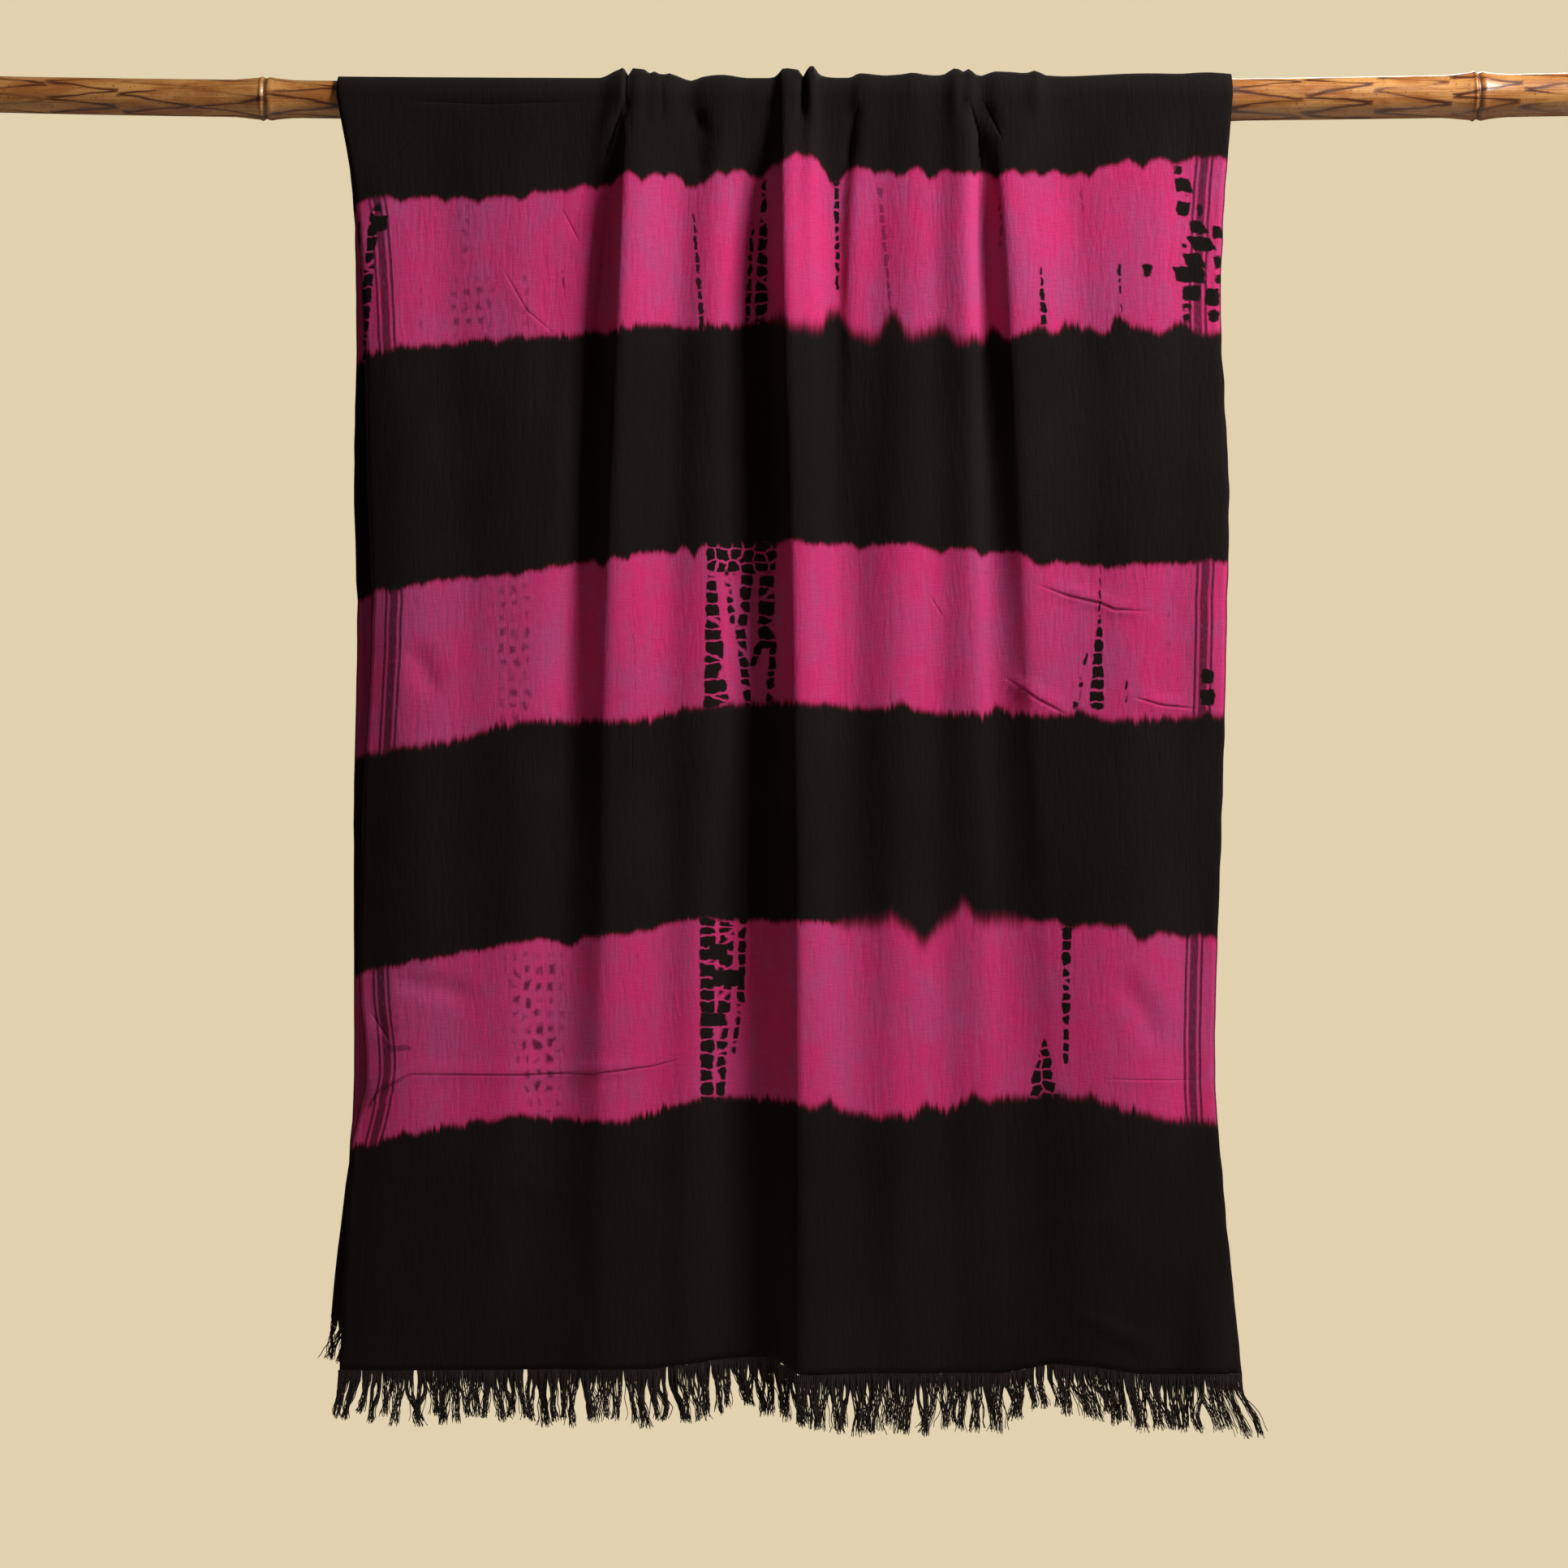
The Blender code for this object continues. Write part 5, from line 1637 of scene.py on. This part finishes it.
class SHIBORI_OT_set_stage(bpy.types.Operator):
    """Set the floor, the soft lights and the camera"""

    bl_idname = "shibori.set_stage"
    bl_label = "Set the stage"

    def execute(self, context):
        stage = context.scene.shibori_stage
        scene = context.scene
        bm = bmesh.new()
        bmesh.ops.create_grid(bm, x_segments=1, y_segments=1, size=0.5)
        bmesh.ops.scale(bm, vec=(*FLOOR_SIZE, 1.0), verts=bm.verts[:])
        mesh = bpy.data.meshes.new("floor")
        bm.to_mesh(mesh)
        bm.free()
        mesh.materials.append(plain_material("pale floor", stage.floor, 0.8))
        floor = bpy.data.objects.new("floor", mesh)
        floor.location = (0.0, 0.0, FLOOR_TOP)
        scene.collection.objects.link(floor)

        set_backdrop(stage)
        area_light("key", (1.92, -1.25, 1.42), (0.0, 0.0, -0.30), 0.70, stage.key_power,
                   (1.0, 0.95, 0.88))
        area_light("fill", (-1.6, -2.8, -0.2), (0.0, 0.0, -0.6), 1.6, stage.fill_power,
                   (1.0, 0.84, 0.70))
        area_light("back fill", (0.8, 2.6, 0.9), (0.0, 0.0, -0.6), 1.4,
                   stage.key_power * BACK_FILL_SHARE, (1.0, 0.97, 0.94))

        camera = bpy.data.cameras.new("camera")
        camera.lens = CAMERA_LENS
        camera.sensor_width = CAMERA_SENSOR
        eye = bpy.data.objects.new("camera", camera)
        eye.location = CAMERA_PLACE
        eye.rotation_euler = (math.radians(90.0), 0.0, 0.0)
        scene.collection.objects.link(eye)
        scene.camera = eye
        scene.view_settings.view_transform = "Standard"
        return {"FINISHED"}


class SHIBORI_PT_panel(bpy.types.Panel):
    """Lists the pieces with their sizes and colours"""

    bl_idname = "SHIBORI_PT_panel"
    bl_label = "Dyed Cloth"
    bl_space_type = "VIEW_3D"
    bl_region_type = "UI"
    bl_category = "Dyed Cloth"

    def draw(self, context):
        groups = (
            ("shibori_rod", "shibori.lay_rod"),
            ("shibori_cloth", "shibori.hang_cloth"),
            ("shibori_fringe", None),
            ("shibori_stage", "shibori.set_stage"),
        )
        for name, operator in groups:
            box = self.layout.box()
            settings = getattr(context.scene, name)
            for prop in settings.bl_rna.properties:
                if not prop.is_readonly and prop.identifier != "name":
                    box.prop(settings, prop.identifier)
            if operator:
                box.operator(operator)


SETTINGS = (
    ("shibori_cloth", ClothSettings),
    ("shibori_fringe", FringeSettings),
    ("shibori_rod", RodSettings),
    ("shibori_stage", StageSettings),
)
CLASSES = (
    SHIBORI_OT_lay_rod,
    SHIBORI_OT_hang_cloth,
    SHIBORI_OT_set_stage,
    SHIBORI_PT_panel,
)


def register():
    """Make the settings, the operators and the panel known to Blender."""
    for name, group in SETTINGS:
        bpy.utils.register_class(group)
        setattr(bpy.types.Scene, name, bpy.props.PointerProperty(type=group))
    for item in CLASSES:
        bpy.utils.register_class(item)


def unregister():
    """Take them out again, in the opposite order."""
    for item in reversed(CLASSES):
        bpy.utils.unregister_class(item)
    for name, group in reversed(SETTINGS):
        delattr(bpy.types.Scene, name)
        bpy.utils.unregister_class(group)


def main():
    """Build everything through the operators."""
    register()
    bpy.ops.shibori.set_stage()
    bpy.ops.shibori.lay_rod()
    bpy.ops.shibori.hang_cloth()


if __name__ == "__main__":
    main()
